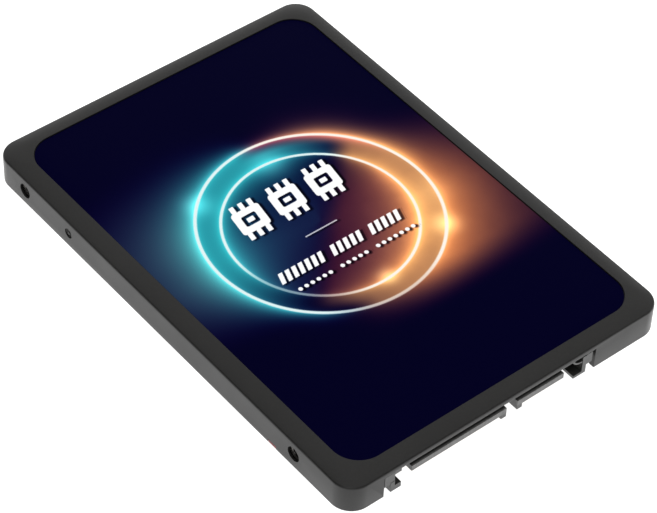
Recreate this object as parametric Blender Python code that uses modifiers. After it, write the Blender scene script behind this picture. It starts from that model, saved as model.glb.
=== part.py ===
"""A 2.5 inch, 7 mm tall solid state drive, as an assembly of separate pieces.

The frame: the origin is at the centre of the underside, +Z is up to the label, +Y runs along the
drive and the plug is at the -Y end. Dimensions are in millimetres and are scaled to metres
when a mesh is made. The bottom cover carries the board, and the top shell lifts off it along +Z.
"""
import math

import bmesh
import bpy
from mathutils import Matrix, Vector

MM = 0.001

# ---- Case -----------------------------------------------------------------------------------
WIDTH = 69.85
LENGTH = 100.2
HEIGHT = 7.0
WALL = 1.2
CORNER_RADIUS = 4.1
RIM_START = 5.32
CREASE_RADIUS = 0.5
CREASE_ANGLE = 69
CREASE_STEPS = 3
BORDER_INSET = 2.9
SEAM = 0.15
FIT = 0.1
FLOOR = 1.0
ROOT = 0.3
CEILING = HEIGHT - WALL
HALF_WIDTH = WIDTH / 2
FRONT = -LENGTH / 2
REAR = LENGTH / 2
THROUGH = 1.0
MERGE_DISTANCE = 0.01

# ---- Labels and seal ------------------------------------------------------------------------
FILM = 0.15
FILM_GAP = 0.05
TOP_LABEL_SIZE = (62.7, 93.1)
TOP_LABEL_CENTRE = (-0.2, -0.6)
TOP_LABEL_RADIUS = 5.3
TOP_LABEL_DEPTH = 0.4
BOTTOM_LABEL_SIZE = (49.0, 66.0)
BOTTOM_LABEL_CENTRE = (0.0, 3.0)
BOTTOM_LABEL_RADIUS = 2.5
BOTTOM_LABEL_DEPTH = 0.25
SEAL_CENTRE = (-31.1, -30.5)
SEAL_RADIUS = 3.8
SEAL_TAB = (0.15, 2.0, 0.55)

# ---- Screw positions of the 2.5 inch form factor ----------------------------------------------
HOLE_FROM_FRONT = (14.0, 90.6)
SIDE_HOLE_HEIGHT = 3.0
BOTTOM_HOLE_HALF_SPACING = 61.72 / 2
SIDE_CLEARANCE_RADIUS = 1.46
UNDER_CLEARANCE_RADIUS = 1.6
THREAD_RADIUS = 1.25
SIDE_THREAD_DEPTH = 4.0
BOTTOM_THREAD_DEPTH = 2.5
NUT_SIZE = (5.7, 6.6, 3.8)
NUT_OUTER = 34.4
NUT_BASE = FLOOR + FIT

# ---- Snap tabs --------------------------------------------------------------------------------
SIDE_TAB_Y = (-20.0, 3.6, 27.2)
REAR_TAB_X = (-16.0, 16.0)
TAB_WIDTH = 3.6
TAB_THICKNESS = 0.9
TAB_TOP = 4.0
TAB_TO_WALL = 0.35
NOSE = 0.2
NOSE_LOW = 2.4
NOSE_FLAT = 0.3
NOSE_HIGH = 3.5
WINDOW_SIZE = (4.4, 0.5, 1.6)
WINDOW_HEIGHT = 3.0
DIMPLE_RADIUS = 1.0
DIMPLE_DEPTH = 0.3

# ---- Ribs on the floor and posts under the ceiling ---------------------------------------------
RIB_WIDTH = 0.8
LONG_RIB_X = (-20.0, 0.0, 20.0)
LONG_RIB_ENDS = (23.5, 46.5)
LONG_RIB_TOP = 1.85
CROSS_RIB_Y = (28.0, 36.0, 44.0)
CROSS_RIB_REACH = 27.0
CROSS_RIB_TOP = 1.7
POST_PLACES = ((-16.0, -35.2), (8.0, -33.6), (0.0, 18.9))
POST_RADIUS = 1.3
POST_ABOVE_BOARD = 0.9

# ---- Plug -------------------------------------------------------------------------------------
TONGUE_LOW = 2.3
TONGUE_HIGH = 3.5
POWER_TONGUE = (-21.495, -0.925)
SIGNAL_TONGUE = (1.485, 11.895)
HOOK_WIDTH = 1.12
HOOK_LOW = 1.42
BODY_ENDS = (-26.9, 18.4)
BODY_FRONT = -44.2
BODY_REAR = -40.6
BODY_LOW = 1.3
BODY_HIGH = 5.2
PLUG_LEFT = -27.1
PLUG_RIGHT = 18.5
CUT_OUT = (-27.3, 19.1)
LIP = 4.25
GUIDE_LIP = 4.55
GUIDE_STRETCHES = ((-27.3, -23.3), (12.7, 19.1))
COVER_NOTCH_DEPTH = 6.3
NOTCH_SPARE = 0.3

# ---- Guides at the plug's ends, as outlines across and up ---------------------------------------
GUIDE_SETBACK = 0.1
CHEEK_LOW = 2.0
GUIDE_TOP = 4.45
LEFT_CHEEK_INNER = -24.95
LEFT_FOOT = ((-25.8, 0.05), (-23.6, 0.05), (-23.6, 1.2), (-24.95, 1.2), (-24.95, 2.3), (-25.8, 2.3))
LEFT_FOOT_DEPTH = 1.5
LEFT_ARM = (-25.4, -23.5, 3.7)
LEFT_ARM_SETBACK = 0.2
RIGHT_CHEEK_INNER = 16.7
RIGHT_CHEEK_TOP = 4.4
RIGHT_HOOK = ((14.3, 0.35), (17.1, 0.35), (17.1, 4.45), (16.2, 4.45), (16.2, 0.95), (14.3, 0.95))
RIGHT_ROOF = (12.9, 16.6, 4.2, 4.8)
RIB_CENTRE = (15.9, 5.35)
RIB_RADII = (2.2, 1.85)
RIB_ANGLES = (205, 290, 17)
RIB_DEPTH = 0.7

# ---- Contacts ---------------------------------------------------------------------------------
PITCH = 1.27
CONTACT_WIDTH = 0.84
CONTACT_THICKNESS = 0.2
CONTACT_LOW = 2.27
SLOT_SPARE = 0.07
RISE_Y = -43.0
TAIL_LOW = 3.0
TAIL_END = -38.4
SIGNAL_CONTACTS = 7
SIGNAL_FIRST_X = 3.15
POWER_CONTACTS = 15
POWER_FIRST_X = -2.56
EARLY_START = -49.7
LATE_START = -49.1
EARLY_SIGNAL = (1, 4, 7)
EARLY_POWER = (3, 4, 5, 6, 7, 10, 12, 13)

# ---- Board ------------------------------------------------------------------------------------
BOARD_HALF_WIDTH = 27.6
BOARD_FRONT = -40.3
BOARD_REAR = 21.0
BOARD_LOW = 1.95
BOARD_THICKNESS = 1.0
BOARD_TOP = BOARD_LOW + BOARD_THICKNESS
BOARD_CORNER = 1.0
SCREW_PLACES = ((-24.9, -36.4), (24.9, -36.4), (-25.3, 18.6), (25.3, 18.6))
BOARD_HOLE_RADIUS = 1.1
BOSS_RADIUS = 1.9
PILOT_RADIUS = 0.75
PILOT_FLOOR = 0.5
PILOT_DEPTH = 3.0
SCREW_PROFILE = (
    (0.0, 0.8), (1.1, 0.75), (1.6, 0.5), (1.75, 0.0), (0.62, 0.0), (0.62, -1.9), (0.3, -2.3), (0.0, -2.3),
)
SCREW_STEPS = 14
CROSS_LENGTH = 1.8
CROSS_WIDTH = 0.32
CROSS_FLOOR = 0.35

# ---- Chips and components: name, size and place -------------------------------------------------
CHIP_LIFT = 0.2
CHIPS = (
    ("controller_chip", (14.0, 14.0, 1.0), (-3.0, -19.0)),
    ("dram_chip", (9.0, 12.0, 0.9), (14.2, -19.5)),
    ("power_chip", (5.0, 5.0, 0.85), (-18.2, -27.0)),
)
FLASH_SIZE = (12.0, 18.0, 1.0)
FLASH_X = (-20.4, -6.8, 6.8, 20.4)
FLASH_Y = 7.0
INDUCTOR_SIZE = (4.2, 4.2, 1.8)
CAPACITOR_SIZE = (3.4, 2.8, 1.7)
BLOCKS = (
    ("inductor_1", INDUCTOR_SIZE, (-24.3, -26.4)),
    ("inductor_2", INDUCTOR_SIZE, (-18.2, -19.8)),
    ("bulk_capacitor_1", CAPACITOR_SIZE, (-24.4, -20.4)),
    ("bulk_capacitor_2", CAPACITOR_SIZE, (-24.4, -15.2)),
    ("bulk_capacitor_3", CAPACITOR_SIZE, (22.9, -26.2)),
    ("bulk_capacitor_4", CAPACITOR_SIZE, (22.9, -20.8)),
)
CANS = (("crystal", (3.2, 2.5, 0.7), (6.8, -27.6)),)
PACKAGE_EDGE = 0.12
HOLD_DOWN_X = (-23.4, 14.4)
HOLD_DOWN_FOOT = 2.4
HOLD_DOWN_METAL = 0.25
HOLD_DOWN_WIDTH = 2.2
HOLD_DOWN_BELOW_TOP = 0.6

# ---- Heat pads, as two corners each --------------------------------------------------------------
PAD_CLEARANCE = 0.3
CONTROLLER_PAD = ((-9.5, -25.5), (3.5, -12.5))
FLASH_PAD = ((-25.5, -1.0), (25.5, 15.0))
PAD_EDGE = 0.2
PACKAGE_TOP = BOARD_TOP + CHIP_LIFT + FLASH_SIZE[2]

# ---- How finely round shapes are faceted ---------------------------------------------------------
SMALL_ROUND = 16
LARGE_ROUND = 28
CASE_CORNER_SEGMENTS = 8
LABEL_CORNER_SEGMENTS = 7
SMALL_CORNER_SEGMENTS = 3
COVER_CORNER_SEGMENTS = 5
PILOT_SEGMENTS = 12


# ---- Solids, each a bmesh in millimetres --------------------------------------------------------
def block(low, high):
    """A box between two opposite corners."""
    low = Vector(low)
    high = Vector(high)
    solid = bmesh.new()
    bmesh.ops.create_cube(solid, size=1.0)
    bmesh.ops.scale(solid, vec=high - low, verts=solid.verts)
    bmesh.ops.translate(solid, vec=(low + high) / 2, verts=solid.verts)
    return solid


def plate(size, centre, low, high, radius, segments):
    """A flat slab with rounded upright edges."""
    half = Vector((size[0] / 2, size[1] / 2))
    middle = Vector(centre)
    solid = block((*(middle - half), low), (*(middle + half), high))
    upright = [edge for edge in solid.edges if abs(edge.verts[0].co.z - edge.verts[1].co.z) > 1e-6]
    bmesh.ops.bevel(solid, geom=upright, offset=radius, segments=segments, profile=0.5, affect="EDGES")
    return solid


def rod(centre, radius, depth, axis="Z", segments=SMALL_ROUND):
    """A cylinder, with its middle at the centre given."""
    solid = bmesh.new()
    bmesh.ops.create_cone(
        solid, cap_ends=True, segments=segments, radius1=radius, radius2=radius, depth=depth
    )
    if axis == "X":
        bmesh.ops.rotate(solid, matrix=Matrix.Rotation(math.pi / 2, 3, "Y"), verts=solid.verts)
    bmesh.ops.translate(solid, vec=centre, verts=solid.verts)
    return solid


def outline(points, width, plane, middle=0.0):
    """A flat outline in the XZ or YZ plane, given a width along the third axis."""
    curve = bpy.data.curves.new("outline", "CURVE")
    curve.dimensions = "2D"
    curve.fill_mode = "BOTH"
    curve.extrude = width / 2
    spline = curve.splines.new("POLY")
    spline.points.add(len(points) - 1)
    for point, (across, up) in zip(spline.points, points):
        point.co = (across, up, 0.0, 1.0)
    spline.use_cyclic_u = True
    guide = bpy.data.objects.new("outline", curve)
    bpy.context.scene.collection.objects.link(guide)
    view = bpy.context.evaluated_depsgraph_get()
    mesh = bpy.data.meshes.new_from_object(guide.evaluated_get(view))
    solid = bmesh.new()
    solid.from_mesh(mesh)
    bpy.data.objects.remove(guide)
    bpy.data.curves.remove(curve)
    bpy.data.meshes.remove(mesh)
    bmesh.ops.remove_doubles(solid, verts=solid.verts, dist=MERGE_DISTANCE)
    if plane == "XZ":
        turn = Matrix(((1, 0, 0), (0, 0, -1), (0, 1, 0)))
        shift = (0, middle, 0)
    else:
        turn = Matrix(((0, 0, 1), (1, 0, 0), (0, 1, 0)))
        shift = (middle, 0, 0)
    bmesh.ops.rotate(solid, matrix=turn, verts=solid.verts)
    bmesh.ops.translate(solid, vec=shift, verts=solid.verts)
    bmesh.ops.recalc_face_normals(solid, faces=solid.faces)
    return solid


def gather(solids):
    """Several solids that don't touch, as one mesh of separate bodies."""
    together = bmesh.new()
    for solid in solids:
        mesh = bpy.data.meshes.new("gathered")
        solid.to_mesh(mesh)
        solid.free()
        together.from_mesh(mesh)
        bpy.data.meshes.remove(mesh)
    return together


# ---- Scene objects --------------------------------------------------------------------------------
def clear_scene():
    for old in list(bpy.data.objects):
        bpy.data.objects.remove(old)


def new_collection(name):
    collection = bpy.data.collections.new(name)
    bpy.context.scene.collection.children.link(collection)
    return collection


def finish(name, colour, roughness, metallic=0.0):
    """A plain Principled material."""
    material = bpy.data.materials.new(name)
    material.use_nodes = True
    shader = material.node_tree.nodes["Principled BSDF"]
    shader.inputs["Base Color"].default_value = (*colour, 1.0)
    shader.inputs["Roughness"].default_value = roughness
    shader.inputs["Metallic"].default_value = metallic
    return material


def make_mesh(name, solid, material=None):
    bmesh.ops.scale(solid, vec=(MM, MM, MM), verts=solid.verts)
    mesh = bpy.data.meshes.new(name)
    solid.to_mesh(mesh)
    solid.free()
    if material:
        mesh.materials.append(material)
    mesh.shade_smooth()
    mesh.set_sharp_from_angle(angle=math.radians(35))
    return mesh


def place(name, mesh, parent, at=(0, 0, 0), turn=0.0):
    """A named piece: a mesh set in place under its body's empty."""
    piece = bpy.data.objects.new(name, mesh)
    PARTS.objects.link(piece)
    piece.parent = parent
    piece.location = Vector(at) * MM
    piece.rotation_euler.z = turn
    return piece


def part(name, solid, material, parent, at=(0, 0, 0)):
    return place(name, make_mesh(name, solid, material), parent, at)


def shape(piece, solid, operation):
    """Cuts a helper solid out of a piece, or joins it on."""
    helper = bpy.data.objects.new(f"{piece.name}_{operation.lower()}", make_mesh("helper", solid))
    CUTTERS.objects.link(helper)
    helper.parent = piece
    helper.hide_render = True
    helper.display_type = "WIRE"
    boolean = piece.modifiers.new(operation.title(), "BOOLEAN")
    boolean.operation = operation
    boolean.solver = "EXACT"
    boolean.object = helper


def cut(piece, *solids):
    for solid in solids:
        shape(piece, solid, "DIFFERENCE")


def join(piece, *solids):
    for solid in solids:
        shape(piece, solid, "UNION")


def soften(piece, width, segments=1):
    bevel = piece.modifiers.new("Bevel", "BEVEL")
    bevel.width = width * MM
    bevel.segments = segments
    bevel.limit_method = "ANGLE"
    bevel.angle_limit = math.radians(50)


# ---- Places that several pieces share -----------------------------------------------------------
def screw_rows():
    return [FRONT + distance for distance in HOLE_FROM_FRONT]


def seal_solids(spare):
    """The round seal and its upturned tab, or with some spare the recesses for them."""
    thickness, width, top = SEAL_TAB
    reach = SEAL_CENTRE[0] - SEAL_RADIUS
    half_width = width / 2 + spare
    tab = block(
        (reach - spare, SEAL_CENTRE[1] - half_width, FILM_GAP - spare),
        (reach + thickness + spare / 2, SEAL_CENTRE[1] + half_width, top + spare),
    )
    disc_middle = FILM_GAP + FILM / 2
    disc = rod((*SEAL_CENTRE, disc_middle), SEAL_RADIUS + spare, FILM + spare, segments=LARGE_ROUND)
    return disc, tab


# ---- Top shell and what it carries --------------------------------------------------------------
def rim_profile():
    """Inset and height up the outer face: a tight crease, then a straight slope to the flat top."""
    points = []
    for step in range(1, CREASE_STEPS + 1):
        angle = math.radians(CREASE_ANGLE * step / CREASE_STEPS)
        points.append((CREASE_RADIUS * (1 - math.cos(angle)), RIM_START + CREASE_RADIUS * math.sin(angle)))
    points.append((BORDER_INSET, HEIGHT))
    return points


def opening_block(stretch, lip):
    """The space cut out of the front wall along a stretch of X, from below the foot up to a lip."""
    left, right = stretch
    return block((left, FRONT - THROUGH, -THROUGH), (right, FRONT + WALL + THROUGH, lip))


def make_top_shell(parent, material):
    """A slab whose top face is inset and raised ring by ring into the rim, and hollowed from below."""
    solid = plate((WIDTH, LENGTH), (0, 0), 0, RIM_START, CORNER_RADIUS, CASE_CORNER_SEGMENTS)
    roof = max(solid.faces, key=lambda face: face.calc_center_median().z)
    reached = 0.0
    for inset, height in rim_profile():
        bmesh.ops.inset_region(solid, faces=[roof], thickness=inset - reached, use_even_offset=True)
        for vert in roof.verts:
            vert.co.z = height
        reached = inset
    shell = part("top_shell", solid, material, parent)

    hollow_size = (WIDTH - 2 * WALL, LENGTH - 2 * WALL)
    hollow_radius = CORNER_RADIUS - WALL
    cut(shell, plate(hollow_size, (0, 0), -THROUGH, CEILING, hollow_radius, CASE_CORNER_SEGMENTS))
    post_low = BOARD_TOP + POST_ABOVE_BOARD
    post_high = CEILING + ROOT
    posts = [
        rod((x, y, (post_low + post_high) / 2), POST_RADIUS, post_high - post_low) for x, y in POST_PLACES
    ]
    join(shell, gather(posts))

    label_floor = HEIGHT - TOP_LABEL_DEPTH
    recess = plate(
        TOP_LABEL_SIZE, TOP_LABEL_CENTRE, label_floor, HEIGHT + THROUGH, TOP_LABEL_RADIUS,
        LABEL_CORNER_SEGMENTS,
    )
    openings = [opening_block(CUT_OUT, LIP)]
    openings += [opening_block(stretch, GUIDE_LIP) for stretch in GUIDE_STRETCHES]
    screw_holes = []
    pockets = []
    for side in (-1, 1):
        for y in screw_rows():
            centre = (side * (HALF_WIDTH - WALL / 2), y, SIDE_HOLE_HEIGHT)
            screw_holes.append(rod(centre, SIDE_CLEARANCE_RADIUS, WALL * 2, "X", LARGE_ROUND))
            pockets.append(nut_pocket(side, y))
        dimple = (side * HALF_WIDTH, SIDE_TAB_Y[-1], WINDOW_HEIGHT)
        screw_holes.append(rod(dimple, DIMPLE_RADIUS, 2 * DIMPLE_DEPTH, "X", SMALL_ROUND))
        inner = HALF_WIDTH - WALL
        for y in SIDE_TAB_Y:
            pockets.append(window_block((side * inner, y), along_y=True))
    for x in REAR_TAB_X:
        pockets.append(window_block((x, REAR - WALL), along_y=False))
    disc, tab = seal_solids(FIT)
    cut(shell, recess, *openings, gather(screw_holes), gather(pockets), disc, tab)
    return shell


def nut_pocket(side, y):
    """The pocket in a long wall's inner face that a corner nut sits in."""
    half_wide = NUT_SIZE[1] / 2 + FIT
    near = side * (HALF_WIDTH - WALL - FIT)
    far = side * (NUT_OUTER + FIT)
    low = (min(near, far), y - half_wide, NUT_BASE - FIT)
    high = (max(near, far), y + half_wide, NUT_BASE + NUT_SIZE[2] + FIT)
    return block(low, high)


def window_block(centre, along_y):
    """The pocket in a wall's inner face that faces a snap tab's nose."""
    half_long = WINDOW_SIZE[0] / 2
    deep = WINDOW_SIZE[1]
    half_tall = WINDOW_SIZE[2] / 2
    half = (deep, half_long, half_tall) if along_y else (half_long, deep, half_tall)
    middle = Vector((*centre, WINDOW_HEIGHT))
    return block(middle - Vector(half), middle + Vector(half))


def make_top_label(parent, material):
    low = HEIGHT - TOP_LABEL_DEPTH + FILM_GAP
    size = [side - 2 * FIT for side in TOP_LABEL_SIZE]
    radius = TOP_LABEL_RADIUS - FIT
    solid = plate(size, TOP_LABEL_CENTRE, low, low + FILM, radius, LABEL_CORNER_SEGMENTS)
    return part("top_label", solid, material, parent)


def make_heat_pads(parent, material):
    """Soft pads stuck under the ceiling, just clear of the chips."""
    high = CEILING - FILM_GAP
    low = PACKAGE_TOP + PAD_CLEARANCE
    for name, corners in (("controller_pad", CONTROLLER_PAD), ("flash_pad", FLASH_PAD)):
        solid = block((*corners[0], low), (*corners[1], high))
        soften(part(name, solid, material, parent), PAD_EDGE)


# ---- Bottom cover and what lies under it ----------------------------------------------------------
def snap_tab():
    """A post with a sloping nose that faces +X, its outer face at zero."""
    points = (
        (-TAB_THICKNESS, FLOOR - ROOT),
        (0.0, FLOOR - ROOT),
        (0.0, NOSE_LOW),
        (NOSE, NOSE_LOW),
        (NOSE, NOSE_LOW + NOSE_FLAT),
        (0.0, NOSE_HIGH),
        (0.0, TAB_TOP),
        (-TAB_THICKNESS, TAB_TOP),
    )
    return outline(points, TAB_WIDTH, "XZ")


def turned(solid, angle, shift):
    bmesh.ops.rotate(solid, matrix=Matrix.Rotation(angle, 3, "Z"), verts=solid.verts)
    bmesh.ops.translate(solid, vec=shift, verts=solid.verts)
    return solid


def make_bottom_cover(parent, material):
    inset = WALL + SEAM
    size = (WIDTH - 2 * inset, LENGTH - 2 * inset)
    solid = plate(size, (0, 0), 0, FLOOR, CORNER_RADIUS - inset, COVER_CORNER_SEGMENTS)
    cover = part("bottom_cover", solid, material, parent)
    join(cover, gather(cover_tabs()), gather(board_bosses()))
    for x in LONG_RIB_X:
        join(cover, rib(x, LONG_RIB_ENDS, LONG_RIB_TOP, along_y=True))
    for y in CROSS_RIB_Y:
        join(cover, rib(y, (-CROSS_RIB_REACH, CROSS_RIB_REACH), CROSS_RIB_TOP, along_y=False))

    notch = block(
        (CUT_OUT[0] - NOTCH_SPARE, FRONT - THROUGH, -THROUGH),
        (CUT_OUT[1] + NOTCH_SPARE, FRONT + COVER_NOTCH_DEPTH, FLOOR + THROUGH),
    )
    label = plate(
        BOTTOM_LABEL_SIZE, BOTTOM_LABEL_CENTRE, -THROUGH, BOTTOM_LABEL_DEPTH, BOTTOM_LABEL_RADIUS,
        SMALL_CORNER_SEGMENTS,
    )
    holes = [
        rod((x, y, FLOOR / 2), UNDER_CLEARANCE_RADIUS, 3 * FLOOR, "Z", LARGE_ROUND)
        for x in (-BOTTOM_HOLE_HALF_SPACING, BOTTOM_HOLE_HALF_SPACING)
        for y in screw_rows()
    ]
    pilots = [
        rod((x, y, PILOT_FLOOR + PILOT_DEPTH / 2), PILOT_RADIUS, PILOT_DEPTH, "Z", PILOT_SEGMENTS)
        for x, y in SCREW_PLACES
    ]
    disc, tab = seal_solids(FIT)
    tab.free()
    cut(cover, notch, label, gather(holes), gather(pilots), disc)
    return cover


def cover_tabs():
    """Three snap tabs along each side and two at the rear, each facing its wall."""
    side_reach = HALF_WIDTH - WALL - TAB_TO_WALL
    rear_reach = REAR - WALL - TAB_TO_WALL
    tabs = []
    for y in SIDE_TAB_Y:
        tabs.append(turned(snap_tab(), 0.0, (side_reach, y, 0)))
        tabs.append(turned(snap_tab(), math.pi, (-side_reach, y, 0)))
    for x in REAR_TAB_X:
        tabs.append(turned(snap_tab(), math.pi / 2, (x, rear_reach, 0)))
    return tabs


def board_bosses():
    """The four round bosses that the board is screwed to."""
    low = FLOOR - ROOT
    high = BOARD_LOW - FIT
    return [rod((x, y, (low + high) / 2), BOSS_RADIUS, high - low) for x, y in SCREW_PLACES]


def rib(at, ends, top, along_y):
    """A low stiffening rib on the floor, between two ends."""
    half = RIB_WIDTH / 2
    if along_y:
        return block((at - half, ends[0], FLOOR - ROOT), (at + half, ends[1], top))
    return block((ends[0], at - half, FLOOR - ROOT), (ends[1], at + half, top))


def make_bottom_label(parent, material):
    size = [side - 2 * FIT for side in BOTTOM_LABEL_SIZE]
    radius = BOTTOM_LABEL_RADIUS - FIT
    solid = plate(size, BOTTOM_LABEL_CENTRE, FILM_GAP, FILM_GAP + FILM, radius, SMALL_CORNER_SEGMENTS)
    return part("bottom_label", solid, material, parent)


def make_seal(parent, material):
    disc, tab = seal_solids(0.0)
    seal = part("seal_sticker", disc, material, parent)
    join(seal, tab)
    return seal


# ---- Nuts and screws --------------------------------------------------------------------------------
def make_mount_nuts(parent, material):
    """Corner nuts in the shell's wall pockets, each tapped from the side and from below."""
    half = Vector((NUT_SIZE[0] / 2, NUT_SIZE[1] / 2, 0))
    middle_x = NUT_OUTER - half.x
    side_z = SIDE_HOLE_HEIGHT - NUT_BASE
    under_x = BOTTOM_HOLE_HALF_SPACING - middle_x
    places = [(side, y) for y in screw_rows() for side in (-1, 1)]
    for number, (side, y) in enumerate(places, start=1):
        name = f"mount_nut_{number}"
        mesh = make_mesh(name, block(-half, half + Vector((0, 0, NUT_SIZE[2]))), material)
        turn = 0.0 if side > 0 else math.pi
        nut = place(name, mesh, parent, (side * middle_x, y, NUT_BASE), turn)
        side_bore = rod((half.x, 0, side_z), THREAD_RADIUS, 2 * SIDE_THREAD_DEPTH, "X", LARGE_ROUND)
        under_bore = rod((under_x, 0, 0), THREAD_RADIUS, 2 * BOTTOM_THREAD_DEPTH, "Z", LARGE_ROUND)
        cut(nut, side_bore, under_bore)


def make_board_screws(parent, material):
    """Pan head screws with a cross recess: a turned profile, from the head's middle to the tip."""
    half_long = CROSS_LENGTH / 2
    half_wide = CROSS_WIDTH / 2
    for number, (x, y) in enumerate(SCREW_PLACES, start=1):
        wire = bmesh.new()
        corners = [wire.verts.new((radius, 0.0, height)) for radius, height in SCREW_PROFILE]
        for upper, lower in zip(corners, corners[1:]):
            wire.edges.new((upper, lower))
        screw = part(f"board_screw_{number}", wire, material, parent, (x, y, BOARD_TOP + FIT))
        turning = screw.modifiers.new("Turned", "SCREW")
        turning.steps = SCREW_STEPS
        turning.render_steps = SCREW_STEPS
        turning.use_merge_vertices = True
        turning.merge_threshold = MERGE_DISTANCE * MM
        turning.use_smooth_shade = True
        cut(screw, block((-half_long, -half_wide, CROSS_FLOOR), (half_long, half_wide, THROUGH)))
        cut(screw, block((-half_wide, -half_long, CROSS_FLOOR), (half_wide, half_long, THROUGH)))


# ---- Plug -------------------------------------------------------------------------------------------
def make_connector_housing(parent, material):
    solid = block((BODY_ENDS[0], BODY_FRONT, BODY_LOW), (BODY_ENDS[1], BODY_REAR, BODY_HIGH))
    housing = part("connector_housing", solid, material, parent)
    length = BODY_FRONT + ROOT - FRONT
    middle = FRONT + length / 2
    power_left, power_right = POWER_TONGUE
    power = (
        (power_left, TONGUE_LOW),
        (power_right - HOOK_WIDTH, TONGUE_LOW),
        (power_right - HOOK_WIDTH, HOOK_LOW),
        (power_right, HOOK_LOW),
        (power_right, TONGUE_HIGH),
        (power_left, TONGUE_HIGH),
    )
    signal_left, signal_right = SIGNAL_TONGUE
    signal = (
        (signal_left, HOOK_LOW),
        (signal_left + HOOK_WIDTH, HOOK_LOW),
        (signal_left + HOOK_WIDTH, TONGUE_LOW),
        (signal_right, TONGUE_LOW),
        (signal_right, TONGUE_HIGH),
        (signal_left, TONGUE_HIGH),
    )
    join(housing, outline(power, length, "XZ", middle), outline(signal, length, "XZ", middle))
    join(housing, *left_guide(), *right_guide())
    cut(housing, gather(contact_slots()))
    return housing


def left_guide():
    """The guide beside the power tongue: a cheek, a short foot below it and a recessed arm."""
    front = FRONT + GUIDE_SETBACK
    rear = BODY_FRONT + ROOT
    arm_left, arm_right, arm_low = LEFT_ARM
    cheek = block((PLUG_LEFT, front, CHEEK_LOW), (LEFT_CHEEK_INNER, rear, GUIDE_TOP))
    foot = outline(LEFT_FOOT, LEFT_FOOT_DEPTH, "XZ", FRONT + LEFT_FOOT_DEPTH / 2 + FILM_GAP)
    arm = block((arm_left, FRONT + LEFT_ARM_SETBACK, arm_low), (arm_right, rear, GUIDE_TOP))
    return cheek, foot, arm


def right_guide():
    """The guide beside the signal tongue: a web and floor, a curved rib between them, a cheek beyond."""
    rear = BODY_FRONT + ROOT
    length = rear - FRONT
    roof_left, roof_right, roof_low, roof_high = RIGHT_ROOF
    first, last, step = RIB_ANGLES
    angles = range(first, last + 1, step)
    hook = outline(RIGHT_HOOK, length, "XZ", FRONT + length / 2)
    roof = block((roof_left, FRONT + WALL + 2 * FIT, roof_low), (roof_right, rear, roof_high))
    cheek = block((RIGHT_CHEEK_INNER, FRONT + GUIDE_SETBACK, CHEEK_LOW), (PLUG_RIGHT, rear, RIGHT_CHEEK_TOP))
    outer = [arc_point(RIB_CENTRE, RIB_RADII[0], angle) for angle in angles]
    inner = [arc_point(RIB_CENTRE, RIB_RADII[1], angle) for angle in reversed(angles)]
    curved = outline(outer + inner, RIB_DEPTH, "XZ", FRONT + RIB_DEPTH / 2 + GUIDE_SETBACK)
    return hook, roof, cheek, curved


def arc_point(centre, radius, degrees):
    angle = math.radians(degrees)
    return centre[0] + radius * math.cos(angle), centre[1] + radius * math.sin(angle)


def contact_path(start, spare):
    """A contact's outline from its tip along the tongue, up inside the body and back to its tail."""
    low = CONTACT_LOW - spare
    high = CONTACT_LOW + CONTACT_THICKNESS + spare
    tail_low = TAIL_LOW - spare
    tail_high = TAIL_LOW + CONTACT_THICKNESS + spare
    rise_front = RISE_Y - CONTACT_THICKNESS - spare
    rise_rear = RISE_Y + spare
    end = TAIL_END + spare
    return (
        (start - spare, low), (rise_rear, low), (rise_rear, tail_low), (end, tail_low), (end, tail_high),
        (rise_front, tail_high), (rise_front, high), (start - spare, high),
    )


def contact_places():
    """Name, x and whether it mates early, for each contact."""
    places = []
    for number in range(1, SIGNAL_CONTACTS + 1):
        x = SIGNAL_FIRST_X + (number - 1) * PITCH
        places.append((f"signal_contact_{number}", x, number in EARLY_SIGNAL))
    for number in range(1, POWER_CONTACTS + 1):
        x = POWER_FIRST_X - (number - 1) * PITCH
        places.append((f"power_contact_{number}", x, number in EARLY_POWER))
    return places


def contact_slots():
    width = CONTACT_WIDTH + 2 * SLOT_SPARE
    return [
        outline(contact_path(EARLY_START if early else LATE_START, SLOT_SPARE), width, "YZ", x)
        for _, x, early in contact_places()
    ]


def make_contacts(parent, material):
    meshes = {
        early: make_mesh("contact", outline(contact_path(start, 0.0), CONTACT_WIDTH, "YZ"), material)
        for early, start in ((True, EARLY_START), (False, LATE_START))
    }
    for name, x, early in contact_places():
        place(name, meshes[early], parent, (x, 0, 0))


def make_hold_downs(parent, material):
    """Angled metal tabs behind the plug body, with a foot on the board."""
    face = BODY_REAR + FIT
    back = face + HOLD_DOWN_METAL
    toe = face + HOLD_DOWN_FOOT
    foot = BOARD_TOP + FILM_GAP
    foot_top = foot + HOLD_DOWN_METAL
    top = BODY_HIGH - HOLD_DOWN_BELOW_TOP
    points = ((face, foot), (toe, foot), (toe, foot_top), (back, foot_top), (back, top), (face, top))
    mesh = make_mesh("hold_down", outline(points, HOLD_DOWN_WIDTH, "YZ"), material)
    for number, x in enumerate(HOLD_DOWN_X, start=1):
        place(f"hold_down_{number}", mesh, parent, (x, 0, 0))


# ---- Board and what is soldered to it ----------------------------------------------------------------
def make_circuit_board(parent, material):
    size = (2 * BOARD_HALF_WIDTH, BOARD_REAR - BOARD_FRONT)
    centre = (0, (BOARD_REAR + BOARD_FRONT) / 2)
    solid = plate(size, centre, BOARD_LOW, BOARD_TOP, BOARD_CORNER, SMALL_CORNER_SEGMENTS)
    board = part("circuit_board", solid, material, parent)
    holes = [rod((x, y, BOARD_LOW), BOARD_HOLE_RADIUS, 4 * BOARD_THICKNESS) for x, y in SCREW_PLACES]
    cut(board, gather(holes))
    return board


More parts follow.
